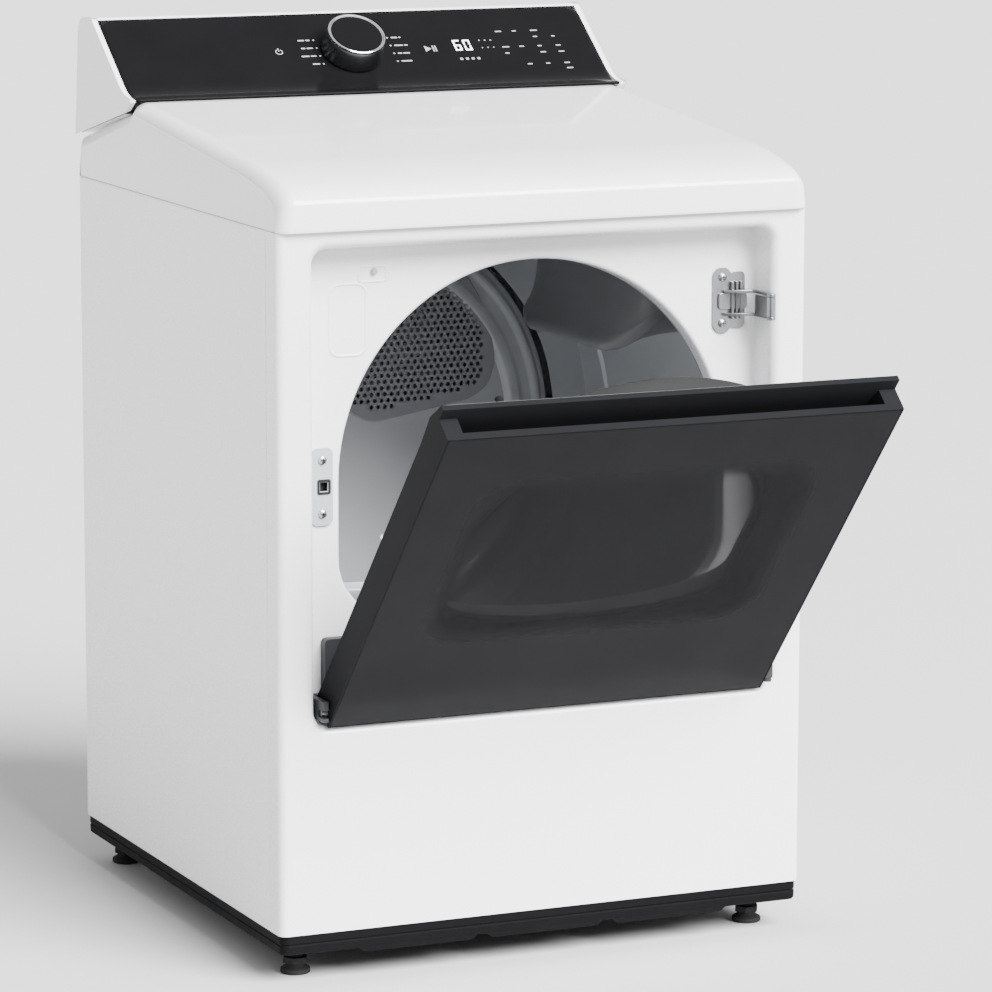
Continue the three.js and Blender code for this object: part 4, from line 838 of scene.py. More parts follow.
FEET = ("front_left", "front_right", "rear_left", "rear_right")

# Where the feet stand: from the middle, behind the front and before the back; and their bosses' half width
FOOT_ACROSS = 301
FOOT_FRONT = 61
FOOT_REAR = 37
BOSS = 26


def base_tray():
    skin = Skin()
    x, y0, y1 = BASE_HIGH.x, BASE_LOW.y, BASE_HIGH.y
    bottom = BASE_LOW.z + 5
    steps = ((BASE_HIGH.z, 3), (BASE_HIGH.z, 0.9), (BASE_HIGH.z - 1, 0), (BASE_HIGH.z - 10, 0),
             (BASE_HIGH.z - 10.6, 1.2),
             (BASE_HIGH.z - 12.4, 1.2), (BASE_HIGH.z - 13, 0), (bottom + 2, 0.4), (bottom, 2.4), (bottom, 5),
             (bottom + 14, 6))
    rings = []
    for z, inset in steps:
        outline = rounded(-x + inset, x - inset, y0 + inset, y1 - inset, 11 - min(inset, 6), 8)
        rings.append([(u, v, z) for u, v in outline])
    skin.loft(rings, caps=True)
    for side in (-1, 0, 1):
        middle = side * (HALF - 42) * 0.55
        lobe = softened([(middle - 80, bottom + 3), (middle - 70, BASE_LOW.z), (middle + 70, BASE_LOW.z),
                         (middle + 80, bottom + 3)], 4)
        skin.prism(lobe, y0 + 0.6, y0 + 4)
    for side in (-1, 1):
        for y in (FOOT_FRONT, DEPTH - FOOT_REAR):
            x_middle = side * FOOT_ACROSS
            boss = rounded(x_middle - BOSS, x_middle + BOSS, y - BOSS, y + BOSS, 6)
            skin.prism(boss, bottom - 2, BASE_HIGH.z - 2, "Z")
    piece(skin.mesh("base_skirt", CABINET), "cabinet", "base", ["base_tray"], 0.7)


def levelling_foot(place):
    low, high = corners(f"foot_{place}")
    x, y = (low.x + high.x) / 2, (low.y + high.y) / 2
    pad = (high.x - low.x) / 2
    skin = Skin()
    skin.turned([(0, 0), (pad - 1.5, 0), (pad, 1.2), (pad, 5), (pad - 1, 6.4), (pad - 5, 8.6),
                 (pad - 6.5, 10.5),
                 (pad - 7, 14), (0, 14)], x, y, 56, "Z")
    hexagon = [(x + (pad - 2.5) * math.cos(math.radians(60 * k)),
                y + (pad - 2.5) * math.sin(math.radians(60 * k)))
               for k in range(6)]
    skin.prism(hexagon, 13, 20, "Z")
    thread = []
    for turn in range(12):
        z = 20 + turn * 2.4
        thread.extend([(7.2, z), (8, z + 0.8), (8, z + 1.4), (7.2, z + 2.2)])
    skin.turned([(0, 20), *thread, (0, high.z)], x, y, 32, "Z")
    piece(skin.mesh(f"levelling_foot_{place}", CABINET), f"foot_{place}", "rubber", [f"foot_{place}"],
          0.4)


# ---------- Cabinet ----------

# A narrow flat strip beside each rounded edge, which keeps its shading off the flat sheet
GUARD = 3


def recess_stations(recess):
    """The front panel's rings from the flat face round the recess to the lip of the opening."""
    rim, fillet, lip = recess.rim, recess.fillet, recess.lip_round

    def rim_ring(inset, y):
        return rect_ring(recess.half + rim - inset, recess.low - rim + inset, recess.high + rim - inset,
                         recess.corner + rim - inset, y)

    stations = [rim_ring(-GUARD, 0)]
    stations += [rim_ring(rim * math.sin(t), rim * (1 - math.cos(t))) for t in quarter(9)]
    stations += [rim_ring(rim + 0.01, recess.depth * 0.5)]
    stations += [rim_ring(rim + fillet * (1 - math.cos(t)), recess.depth - fillet * (1 - math.sin(t)))
                 for t in quarter(6)]
    stations += [rim_ring(rim + fillet + GUARD, recess.depth)]
    stations += [opening_ring(recess, -lip - GUARD, recess.depth)]
    stations += [opening_ring(recess, lip * (math.sin(t) - 1), recess.depth + lip * (1 - math.cos(t)))
                 for t in quarter(6)]
    return stations + [opening_ring(recess, 0, recess.depth + recess.lip)]


# Half width of the square hole behind the latch
LATCH_HOLE = 9


def front_panel():
    recess, cabinet = Measures("recess"), Measures("cabinet")
    skin = Skin()
    rows = skin.loft(recess_stations(recess))
    low, high = PANEL_LOW.z, PANEL_HIGH.z
    inner = HALF - cabinet.corner - GUARD
    outer = skin.add([(inner, 0, high), (-inner, 0, high), (-inner, 0, low), (inner, 0, low)])
    span = CORNER_STEPS + SIDE_STEPS
    middles = [i * span + CORNER_STEPS // 2 for i in range(4)]
    count = len(rows[0])
    for i in range(4):
        start, end = middles[i], middles[(i + 1) % 4]
        chain = [rows[0][(start + k) % count] for k in range((end - start) % count + 1)]
        skin.faces.append((outer[i], outer[(i + 1) % 4], *reversed(chain)))
    wrap = [(inner, 0)]
    wrap += [(HALF - cabinet.corner * (1 - math.sin(t)), cabinet.corner * (1 - math.cos(t)))
             for t in quarter(10)]
    wrap += [(HALF, cabinet.corner + GUARD), (HALF, 35.4), (HALF - 0.5, 36.6), (HALF - 2, 37.2)]
    for side in (-1, 1):
        top = [(side * x, y, high) for x, y in wrap]
        bottom = [(side * x, y, low) for x, y in wrap]
        rows = (bottom, top) if side > 0 else (top, bottom)
        skin.loft(rows, closed=False)
    x, z = latch_middle()
    floor = recess.depth
    casing = punched(skin.mesh("front_casing", CABINET, outward=False),
                     CABINET @ Vector((x - LATCH_HOLE, floor - 0.5, z - LATCH_HOLE)),
                     CABINET @ Vector((x + LATCH_HOLE, floor + 0.5, z + LATCH_HOLE)))
    piece(casing, "cabinet", "enamel", ["front_panel"], sheet=cabinet.sheet)


def latch_middle():
    """Where the strike passes through the latch, in X and Z."""
    low, high = corners("latch_catch")
    plate_low, plate_high = corners("latch_plate")
    return (low.x + high.x) / 2, (plate_low.z + plate_high.z) / 2


def side_panel(side, name):
    cabinet = Measures("cabinet")
    r = cabinet.corner
    tuck = HALF - 1.4
    path = [(tuck, 26), (tuck, 37.6), (tuck + 0.5, 38.3), (HALF, 39)]
    path += [(HALF, y) for y in (44, DEPTH - 30, DEPTH - r - GUARD)]
    path += [(HALF - r * (1 - math.cos(t)), DEPTH - r * (1 - math.sin(t))) for t in quarter(10)]
    path += [(HALF - r - GUARD, DEPTH), (HALF - 30, DEPTH)]
    skin = Skin()
    levels = (SIDE_LOW.z, SIDE_LOW.z + 4, SIDE_HIGH.z - 4, SIDE_HIGH.z)
    rows = [[(side * x, y, z) for x, y in path] for z in levels]
    skin.loft(rows if side > 0 else list(reversed(rows)), closed=False)
    piece(skin.mesh(f"{name}_casing", CABINET, outward=False), "cabinet", "enamel", [f"side_panel_{name}"],
          sheet=cabinet.sheet)


LOUVRE_COLUMNS = (-240, 240)
LOUVRE_ROWS = 9
LOUVRE_FOOT = 330
LOUVRE_PITCH = 22
REAR_SCREW_COLUMNS = (-318, -160, 0, 160, 318)
REAR_SCREW_ROWS = (78, 470, 876)


def rear_panel():
    low, high = corners("rear_panel")
    duct_low, duct_high = corners("exhaust_duct")
    duct = ((duct_low.x + duct_high.x) / 2, (duct_low.z + duct_high.z) / 2, (duct_high.x - duct_low.x) / 2)
    outline = rounded(low.x, high.x, low.z, high.z, 3)
    holes = [arc(duct[0], duct[1], duct[2] + 3, 0, 352.5, 47)]
    for column in LOUVRE_COLUMNS:
        for row in range(LOUVRE_ROWS):
            foot = LOUVRE_FOOT + row * LOUVRE_PITCH
            holes.append(rounded(column - 45, column + 45, foot, foot + 6, 2.9, 3))
    place = CABINET @ upright(0, high.y, 0)
    piece(pierced("rear_casing", outline, holes, high.y - low.y, place, 0.2), "cabinet", "galvanised",
          ["rear_panel"])
    heads = Skin()
    for x in REAR_SCREW_COLUMNS:
        for z in REAR_SCREW_ROWS:
            if abs(x) == REAR_SCREW_COLUMNS[-1] or z != REAR_SCREW_ROWS[1]:
                rear_screw(heads, x, z, high.y)
    piece(heads.mesh("rear_screws", CABINET), "cabinet", "zinc")


def rear_screw(skin, x, z, y):
    skin.turned([(5.4, y), (5.4, y + 0.8), (4.6, y + 0.9), (4.4, y + 3.6), (3.9, y + 4), (2.6, y + 3.4),
                 (0, y + 3.3)],
                x, z, 6)


def terminal_cover():
    low, high = corners("terminal_block")
    skin = Skin()
    section = softened([(low.y, low.z), (high.y, low.z + 3), (high.y, high.z - 6), (low.y, high.z)], 3)
    skin.prism(section, low.x, high.x, "X")
    piece(skin.mesh("terminal_cover", CABINET), "cabinet", "galvanised", ["terminal_block"],
          0.8)
    head = Skin()
    rear_screw(head, (low.x + high.x) / 2, high.z - 14, high.y - 0.6)
    piece(head.mesh("terminal_screw", CABINET), "cabinet", "zinc")


# ---------- Top cover ----------

# Height of the cover's rear edge
COVER_REAR = 943


def cover_profile(cabinet, inset):
    """The cover's side outline in Y and Z, drawn in by an inset, from the front to the rear."""
    front, foot, rear = COVER_LOW.y + inset, COVER_LOW.z, COVER_HIGH.y - inset
    shoulder = foot + cabinet.fascia - inset
    crest_y, crest_z = GLASS_LOW.y + 1.4, COVER_HIGH.z - inset
    hood = bezier((front, shoulder), (front + 2, shoulder + 18), (front + 55, shoulder + 30),
                  (front + 120, shoulder + 38), 22)
    end_y, end_z = hood[-1]
    slope = [(end_y + (crest_y - end_y) * t, end_z + (crest_z - end_z) * t) for t in (0.04, 0.5, 0.97, 1)]
    back = [(crest_y + 14, crest_z - 12), (rear, COVER_REAR - inset), (rear, foot)]
    return [(front, foot), (front, foot + 4), *hood, *slope, *back]


def top_cover():
    cabinet = Measures("cabinet")
    r, foot, top = cabinet.cover_round, COVER_LOW.z, COVER_HIGH.z
    edge = COVER_HIGH.x

    def section(side, inset, back):
        return [(side * (edge - back - cabinet.cover_draft * (z - foot) / (top - foot)), y, z)
                for y, z in cover_profile(cabinet, inset)]

    steps = quarter(10)
    left = [section(-1, r * (1 - math.sin(t)), r * (1 - math.cos(t))) for t in steps]
    right = [section(1, r * (1 - math.sin(t)), r * (1 - math.cos(t))) for t in reversed(steps)]
    skin = Skin()
    rows = skin.loft([*left, section(-1, 0, r + 4), section(1, 0, r + 4), *right], closed=False)
    skin.faces.append(tuple(rows[0]))
    skin.faces.append(tuple(reversed(rows[-1])))
    piece(skin.mesh("hood", CABINET, outward=False), "cabinet", "cover_enamel", ["top_cover"],
          angle=50,
          sheet=1.2, even=False)


# ---------- Console ----------

# Depth of the glass's head, length of the flare at its foot, and the point that the flare bends round
GLASS_HEAD = 640
FLARE = 34
FLARE_BEND = (526, 1006)


def glass_path():
    """The console glass's front in Y and Z: a flare at its foot, then the slope to its head."""
    way = Vector((-KNOB_NORMAL.z, KNOB_NORMAL.y)) * -1
    middle = Vector((KNOB_AXIS.y, KNOB_AXIS.z))
    slope_start = middle - way * (KNOB_ALONG - FLARE)
    head = Vector((GLASS_HEAD, GLASS_HIGH.z - 0.4))
    foot = Vector((GLASS_LOW.y, GLASS_LOW.z + 4))
    bend = Vector(FLARE_BEND)
    flare = []
    for k in range(13):
        t = k / 12
        flare.append(tuple(foot * (1 - t) ** 2 + bend * 2 * t * (1 - t) + slope_start * t * t))
    return flare, tuple(head)


def console_glass():
    cabinet = Measures("cabinet")
    flare, head = glass_path()
    start = Vector(flare[-1])
    run = Vector(head) - start
    r = cabinet.console_corner
    half = GLASS_HIGH.x
    rows = [(point, half) for point in flare] + [(tuple(start + run * 0.4), half)]
    for t in quarter(9):
        back = r * (1 - math.sin(t))
        rows.append((tuple(start + run.normalized() * (run.length - back)), half - r * (1 - math.cos(t))))
    skin = Skin()
    skin.loft([[(x, y, z) for x in (-width, -width * 0.98, width * 0.98, width)] for (y, z), width in rows],
              closed=False)
    piece(skin.mesh("console_front_glass", CABINET, outward=False), "cabinet", "black_glass",
          ["console_glass"],
          sheet=3.2)


def console_shell():
    flare, head = glass_path()
    low, high = corners("console_end_cap_right")
    back = [(head[0] + 2, high.z - 2), (head[0] + 8, high.z), (head[0] + 16, high.z - 0.6),
            *arc(672, high.z - 22, 20, 70, 20, 5), (694, high.z - 36), (high.y, COVER_HIGH.z - 54)]
    outline = [*flare, head, *back, (COVER_HIGH.y - 176, COVER_HIGH.z - 11.2),
               (flare[0][0] + 1, COVER_HIGH.z + 1)]
    for side, name in ((-1, "left"), (1, "right")):
        skin = Skin()
        raised = offset_closed(outline, 1.0)
        inner, outer = side * low.x, side * high.x
        rings = [[(x, y, z) for y, z in ring] for x, ring in
                 ((inner, raised), (outer - side * 2.4, raised),
                  (outer - side * 1, offset_closed(outline, 0.2)),
                  (outer, offset_closed(outline, -1.6)))]
        skin.loft(rings, caps=True)
        piece(skin.mesh(f"console_cap_{name}", CABINET), "cabinet", "shell", [f"console_end_cap_{name}"],
              angle=28)
    rear = [(head[0] + 1.4, high.z - 1.6), *back[1:], (flare[0][0] + 41, COVER_HIGH.z - 17)]
    skin = Skin()
    half = low.x - 0.4
    skin.loft([[(x, y, z) for y, z in rear] for x in (half, -half)], closed=False)
    piece(skin.mesh("console_back_shell", CABINET, outward=False), "cabinet", "shell", ["console_housing"],
          sheet=2)


def offset_closed(outline, distance):
    """A closed counterclockwise outline in Y and Z grown by a distance."""
    count = len(outline)
    grown = []
    for i, point in enumerate(outline):
        here = Vector(point)
        before = (here - Vector(outline[i - 1])).normalized()
        after = (Vector(outline[(i + 1) % count]) - here).normalized()
        middle = (before + after).normalized()
        side = Vector((middle.y, -middle.x))
        grown.append(tuple(here + side * distance / max(0.5, middle.dot(after))))
    return grown


class Marks(Skin):
    """Flat marks on the console's glass, drawn across it and up its slope."""

    LIFT = 0.04
    THICK = 0.12

    def patch(self, outline):
        self.prism(outline, self.LIFT, self.LIFT + self.THICK, "Z")

    def bar(self, x0, x1, up, height=2.2):
        self.patch(rounded(x0, x1, up - height / 2, up + height / 2, height * 0.45, 3))

    def label(self, x, up, dashes, height=2.3, right=False):
        """Stands for a word: a row of dashes, which ends at x where it is right-aligned."""
        if right:
            x -= sum(dashes) + 1.6 * (len(dashes) - 1)
        for dash in dashes:
            self.bar(x, x + dash, up, height)
            x += dash + 1.6

    def dot(self, x, up, radius=1.3):
        self.patch(arc(x, up, radius, 0, 337.5, 15))

    def digit(self, x, up, lit_segments, width=9.5, height=20, stroke=2.2):
        half = height / 2
        spots = {
            "top": (x, x + width, up + half - stroke, up + half),
            "middle": (x, x + width, up - stroke / 2, up + stroke / 2),
            "bottom": (x, x + width, up - half, up - half + stroke),
            "left_up": (x, x + stroke, up + 0.8, up + half - 0.8),
            "left_low": (x, x + stroke, up - half + 0.8, up - 0.8),
            "right_up": (x + width - stroke, x + width, up + 0.8, up + half - 0.8),
            "right_low": (x + width - stroke, x + width, up - half + 0.8, up - 0.8),
        }
        for name in lit_segments:
            x0, x1, y0, y1 = spots[name]
            self.patch(rounded(x0, x1, y0, y1, stroke * 0.4, 2))


LABELS_LEFT = ((103, (9, 6)), (88, (6, 9)), (73, (11, 8)), (58, (10,)))
LABELS_RIGHT = ((103, (9, 3)), (88, (12, 5)), (73, (6, 9)), (58, (15,)))
OPTION_COLUMNS = (200, 224, 250, 276)
OPTION_ROWS = ((108, (9, 6, 10, 0)), (96, (0, 0, 6, 5)), (78, (10, 7, 6, 7)), (66, (6, 0, 8, 8)),
               (44, (0, 7, 6, 8)),
               (34, (0, 0, 0, 9)))


def console_marks():
    marks = Marks()
    ring = [(x - 108, y + 83) for x, y in arc(0, 0, 5, 120, 420, 20)]
    inner = [(x - 108, y + 83) for x, y in arc(0, 0, 3.9, 420, 120, 20)]
    marks.patch(ring + inner)
    marks.patch(rounded(-108.6, -107.4, 83.5, 90, 0.4, 2))
    for up, dashes in LABELS_LEFT:
        marks.label(-60, up, dashes, right=True)
        marks.dot(-55, up)
    for up, dashes in LABELS_RIGHT:
        marks.dot(47, up)
        marks.label(52, up, dashes)
    marks.patch([(92, 74), (101, 79.5), (92, 85)])
    for x in (102.5, 106):
        marks.patch(rounded(x, x + 1.8, 74, 85, 0.4, 2))
    for x in (172, 180, 188):
        marks.dot(x, 92, 1.1)
        marks.dot(x, 78, 0.9)
    for x in (136, 144, 152, 160):
        marks.patch(softened([(x - 2, 56), (x + 2, 56), (x + 2, 60), (x - 2, 60)], 1, 2))
    for up, widths in OPTION_ROWS:
        for x, width in zip(OPTION_COLUMNS, widths):
            if width:
                marks.label(x, up, (width,), 2.0)
    piece(marks.mesh("console_marks", CONSOLE), "cabinet", "print")
    digits = Marks()
    digits.digit(134, 84, ("top", "middle", "bottom", "left_up", "left_low", "right_low"))
    digits.digit(148, 84, ("top", "bottom", "left_up", "left_low", "right_up", "right_low"))
    piece(digits.mesh("console_digits", CONSOLE), "cabinet", "lit")


# ---------- Knob ----------

def knob():
    cabinet = Measures("cabinet")
    r, high = cabinet.knob, cabinet.knob_height
    x, up = KNOB_AXIS.x, KNOB_ALONG
    body = Skin()
    body.turned([(0, -12), (5.5, -12), (5.5, 0.9), (r + 2, 0.9), (r + 3, 2), (r + 3, 5), (r + 2.6, 7),
                 (r + 1.2, high - 8),
                 (r + 0.6, high - 5), (r + 0.2, high - 3.4), (r - 2, high - 3.2), (0, high - 3.2)], x, up, 96,
                 "Z")
    piece(body.mesh("knob_body", CONSOLE), "knob", "knob_side", ["knob_rim"])
    ring = Skin()
    ring.turned([(r - 3.4, high - 3), (r + 0.3, high - 3), (r + 0.5, high - 2), (r + 0.2, high - 0.5),
                 (r - 0.8, high),
                 (r - 1.6, high - 0.2), (r - 2.2, high - 1.2), (r - 3.4, high - 1.4)], x, up, 96, "Z",
                 closed=True)
    piece(ring.mesh("knob_ring", CONSOLE), "knob", "chrome")
    face = Skin()
    face.turned([(0, high - 3), (r - 3.6, high - 3), (r - 3.6, high - 1.5), (r - 4.6, high - 0.9),
                 (r - 14, high - 0.5),
                 (0, high - 0.3)], x, up, 96, "Z")
    piece(face.mesh("knob_face", CONSOLE), "knob", "black_glass", ["knob_cap"])


# ---------- Hinges ----------

# How far the hinge plate's screws stand above and below the pin's middle
HINGE_SCREWS = (31, 25)


def upper_hinge():
    recess = Measures("recess")
    low, _ = corners("upper_hinge_bracket")
    leaf_low, leaf_high = corners("upper_hinge_leaf")
    middle = (leaf_low.z + leaf_high.z) / 2
    wall = recess.depth - 0.4
    left, right = low.x, low.x + 42
    lobe = 12
    outline = [*arc(left + lobe, middle + HINGE_SCREWS[0], lobe, 20, 180, 10),
               *arc(left + lobe, middle - HINGE_SCREWS[1], lobe, 180, 340, 10),
               (right - 14, middle - 31), *arc(right - 6, middle - HINGE_SCREWS[1], 6, -90, 0, 4),
               *arc(right - 6, middle + HINGE_SCREWS[0], 6, 0, 90, 4),
               (right - 14, middle + 37)]
    outline = outline[::-1] if area(outline) < 0 else outline
    plate = pierced("hinge_plate", outline, [], 2.4, CABINET @ upright(0, wall - 2.4, 0), 0.6)
    piece(plate, "cabinet", "steel", ["upper_hinge_bracket"])
    ridge = Skin()
    for k in range(3):
        x = right - 20 + k * 6.2
        ridge.prism(rounded(x, x + 3.2, middle - 20, middle + 26, 1.5, 4), wall - 8.4 + k, wall - 2.2)
    bridge = rounded(left + 6, right + 2, middle - 8, middle + 12, 4, 5)
    ridge.prism(bridge, wall - 5.4, wall - 2.2)
    piece(ridge.mesh("hinge_stiffener", CABINET), "cabinet", "steel", bevel=0.7)
    arms = Skin()
    swing = joint("door_swing")["place"]
    reach = [(left + 12, wall - 7), (left + 24, 36), (left + 36, 32.6), (swing.x - 5, 31.8),
             (swing.x - 3.4, 30.6),
             (swing.x - 2.4, 27), (swing.x - 1.4, 16), (swing.x - 0.8, 0), (swing.x - 0.6, swing.y + 4)]
    far = offset(reach, 5.4)
    for side in (-1, 1):
        z = middle + side * 14
        edges = ((reach, -2), (reach, 2), (far, 2), (far, -2))
        rows = [[(x, y, z + lift) for x, y in path] for path, lift in edges]
        arms.loft(zip(*rows), caps=True)
        arms.turned([(0, z - 2), (5.4, z - 2), (5.4, z + 2), (0, z + 2)], swing.x, swing.y, 28, "Z")
    arms.turned([(0, middle - 15), (2.4, middle - 15), (2.4, middle + 15), (0, middle + 15)], swing.x,
                swing.y, 20, "Z")
    piece(arms.mesh("hinge_arms", CABINET), "cabinet", "steel", bevel=0.6)
    heads = Skin()
    for z in (middle + HINGE_SCREWS[0], middle - HINGE_SCREWS[1]):
        screw_head(heads, left + lobe, z, wall - 2.6, 5.2)
    piece(heads.mesh("hinge_screws", CABINET), "cabinet", "zinc")
    # The dark crosses on the hinge screws are painted shade for their cross recesses
    recess_shade = Skin()
    for z in (middle + HINGE_SCREWS[0], middle - HINGE_SCREWS[1]):
        cross_recess_shade(recess_shade, left + lobe, z, wall - 2.6)
    piece(recess_shade.mesh("hinge_screw_slots", CABINET), "cabinet", "dark")


def area(outline):
    """An outline's area, below zero where it runs clockwise."""
    return sum(x0 * y1 - x1 * y0 for (x0, y0), (x1, y1) in zip(outline, [*outline[1:], outline[0]])) / 2


def pressed_marks():
    """Outlines pressed in the recess's floor: an unused lamp window and the other hand's hinge plate."""
    recess = Measures("recess")
    floor = recess.depth
    skin = Skin()
    for x0, x1, z0, z1, r in ((-221, -186, 826, 844, 4), (-258, -212, 740, 824, 12)):
        rings = []
        for inset, lift in ((-2.0, 0.05), (-0.8, -1.2), (0.8, -1.2), (2.0, 0.05)):
            rings.append([(x, floor + lift, z) for x, z in
                          rounded(x0 + inset, x1 - inset, z0 + inset, z1 - inset, max(r - inset, 1), 6)])
        skin.loft(rings)
    piece(skin.mesh("pressed_outlines", CABINET), "cabinet", "enamel", angle=80)


def lower_hinges():
    keep("lower_hinge_bracket", "bracket", 0.8)
    keep("lower_hinge_block", "bracket", 1.0)
    keep("lower_pivot_socket", "bracket", 0.9)
    keep("upper_hinge_leaf", "steel", 0.4)
    _, high = corners("lower_pivot_socket")
    heads = Skin()
    for x, z in ((high.x - 14, high.z - 16), (high.x - 14, high.z - 52)):
        screw_head(heads, x, z, 35.6, 4.6)
    piece(heads.mesh("socket_screws", CABINET), "cabinet", "bracket")


# ---------- Latch and switch ----------

# Half width and half height of the slot that the strike enters, and how far the screws stand from it
LATCH_SLOT = (5.5, 6)
LATCH_SCREWS = 32


def latch():
    low, high = corners("latch_plate")
    x, z = latch_middle()
    wide, tall = LATCH_SLOT
    outline = rounded(low.x, high.x, low.z, high.z, 8, 8)
    hole = rounded(x - wide, x + wide, z - tall, z + tall, 0.8, 3)
    plate = pierced("latch_face", outline, [hole], 2.4, CABINET @ upright(0, low.y + 0.2, 0), 0.7)
    piece(plate, "cabinet", "latch", ["latch_plate"])
    throat = Skin()
    rings = []
    for grow, y in ((3.2, low.y + 0.6), (2.8, low.y - 1.0), (0.4, low.y - 1.0), (0.0, low.y - 0.2),
                    (0.0, low.y + 26)):
        rings.append([(u, y, v) for u, v in rounded(x - wide - grow, x + wide + grow, z - tall - grow,
                                                    z + tall + grow, 1 + grow / 2, 4)])
    throat.loft(rings)
    piece(throat.mesh("latch_throat", CABINET), "cabinet", "dark", angle=50)
    # The dark crosses on the latch screws are painted shade for their cross recesses
    heads, recess_shade = Skin(), Skin()
    middle = (low.x + high.x) / 2
    for side in (-1, 1):
        spot = z + side * LATCH_SCREWS
        screw_head(heads, middle, spot, low.y + 0.1, 5.4)
        cross_recess_shade(recess_shade, middle, spot, low.y + 0.1, 3.1)
    piece(heads.mesh("latch_screws", CABINET), "cabinet", "zinc")
    piece(recess_shade.mesh("latch_screw_slots", CABINET), "cabinet", "dark")
    keep("latch_catch", "dark", 0.5)
    keep("door_switch_plunger", "latch", 0.3)
    keep("door_switch_housing", "plastic", 0.5)


# ---------- Door, in the place where it lies closed ----------

def door_planes():
    door = Measures("door")
    front = PIVOT.y - door.front
    bottom = PIVOT.z - door.rise
    return front, front + door.thickness, bottom, bottom + door.height


def door_glass():
    door = Measures("door")
    front, _, bottom, top = door_planes()
    half = door.half - 1.7
    skin = Skin()
    rings = []
    for inset, depth in ((1.2, 0), (0.5, 0.15), (0.12, 0.6), (0, 1.4), (0, door.glass)):
        rings.append([(x, front + depth, z) for x, z in
                      rounded(-half + inset, half - inset, bottom + 1.7 + inset, top - 1.7 - inset,
                              3 - inset * 0.6, 5)])
    skin.loft(rings, caps=True)
    piece(skin.mesh("door_front_glass", DOOR), "door", "smoked", ["door_glass"])


# How far behind the door's face the liner sits in its frame
LINER_SEAT = 37.4


def door_liner():
    recess, door = Measures("recess"), Measures("door")
    front, rear, bottom, top = door_planes()
    plug_rear = rear + door.plug_reach
    seat = front + LINER_SEAT
    side, low, high = door.half - 6.4, bottom + 6.4, top + 6.5

    def pan(inset, y):
        return rect_ring(side - inset, low + inset, high - inset, 7, y)

    def plug(inset, y):
        return opening_ring(recess, door.plug_inset + inset, y)

    stations = [pan(0, seat), pan(0, rear - 3), pan(0.9, rear - 0.9), pan(3, rear), pan(6, rear)]
    stations += [plug(-6, rear), plug(-2, rear + 0.6), plug(0, rear + 3)]
    stations += [plug(20, plug_rear - 8), plug(22.5, plug_rear - 3), plug(26, plug_rear), plug(38, plug_rear),
                 plug(40, plug_rear - 0.8), plug(door.window_frame, plug_rear - 14),
                 plug(door.window_frame + 13, plug_rear - 29), plug(door.window_frame + 15, plug_rear - 31)]
    skin = Skin()
    skin.loft([list(reversed(ring)) for ring in stations])
    piece(skin.mesh("door_inner_liner", DOOR, outward=False), "door", "liner", ["door_liner"],
          sheet=2.5,
          angle=42)
    x, _, z = (sum(pair) / 2 for pair in zip(*corners("door_switch_plunger")))
    boss = Skin()
    boss.turned([(5, rear - 1), (5, rear + 12), (4.2, rear + 13), (0, rear + 13)], x, z, 28)
    piece(boss.mesh("switch_boss", DOOR), "door", "charcoal")


def door_window():
    recess, door = Measures("recess"), Measures("door")
    _, rear, _, _ = door_planes()
    inset = door.plug_inset + door.window_frame + 8
    back = rear + door.plug_reach - 32.4
    skin = Skin()
    skin.loft([opening_ring(recess, inset + grow, y) for grow, y in
               ((1, back - 4), (0, back - 3.6), (0, back - 0.4), (1, back))], caps=True)
    piece(skin.mesh("door_inner_pane", DOOR), "door", "pane", ["door_window"])


def door_seal():
    recess = Measures("recess")
    _, rear, _, _ = door_planes()
    skin = Skin()
    rings = []
    for k in range(12):
        turn = 2 * math.pi * k / 12
        rings.append(opening_ring(recess, -5.3 + 2.3 * math.cos(turn), rear + 9.6 + 9.2 * math.sin(turn)))
    skin.loft([*rings, rings[0]])
    piece(skin.mesh("door_gasket", DOOR), "door", "seal", ["door_seal"], angle=80)


def door_frame():
    keep("door_frame", "charcoal", 0.9)
    keep("door_strike", "chrome", 0.5)
    keep("door_pin_left", "steel", 0.3)
    front, _, _, top = door_planes()
    domes = Skin()
    for x in (-63, 46):
        domes.turned([(7, top - 42.2), (6.8, top - 40), (5.6, top - 37.6), (3.4, top - 36.2),
                      (0, top - 35.8)], x,
                     front + 19, 28, "Z")
    piece(domes.mesh("handle_channel_screws", DOOR), "door", "dome")


# ---------- Drum and bulkheads ----------

def drum_shell():
    drum = Measures("drum")
    r = (DRUM_HIGH.x - DRUM_LOW.x) / 2
    front, rear = DRUM_LOW.y, DRUM_HIGH.y
    mouth_front, mouth_rear = 300, 272
    outer = [(mouth_front, front), (r - 3, front), (r - 0.9, front + 0.9), (r, front + 3)]
    for middle in (front + 68, rear - 68):
        outer += [(r - drum.rib * (1 + math.cos(math.pi * k / 8)) / 2, middle + k) for k in range(-8, 9, 2)]
    outer += [(r, rear - 3), (r - 0.9, rear - 0.9), (r - 3, rear), (mouth_rear, rear)]
    inner = []
    for i, (radius, y) in enumerate(outer):
        end = i in (0, len(outer) - 1)
        shifted = max(y, front + drum.sheet) if y < (front + rear) / 2 else min(y, rear - drum.sheet)
        inner.append((radius if end else radius - drum.sheet, shifted))
    skin = Skin()
    skin.turned([*outer, *reversed(inner)], DRUM_AXIS.x, DRUM_AXIS.z, 144, closed=True)
    piece(skin.mesh("drum_shell", CABINET), "drum", "drum", ["drum"])


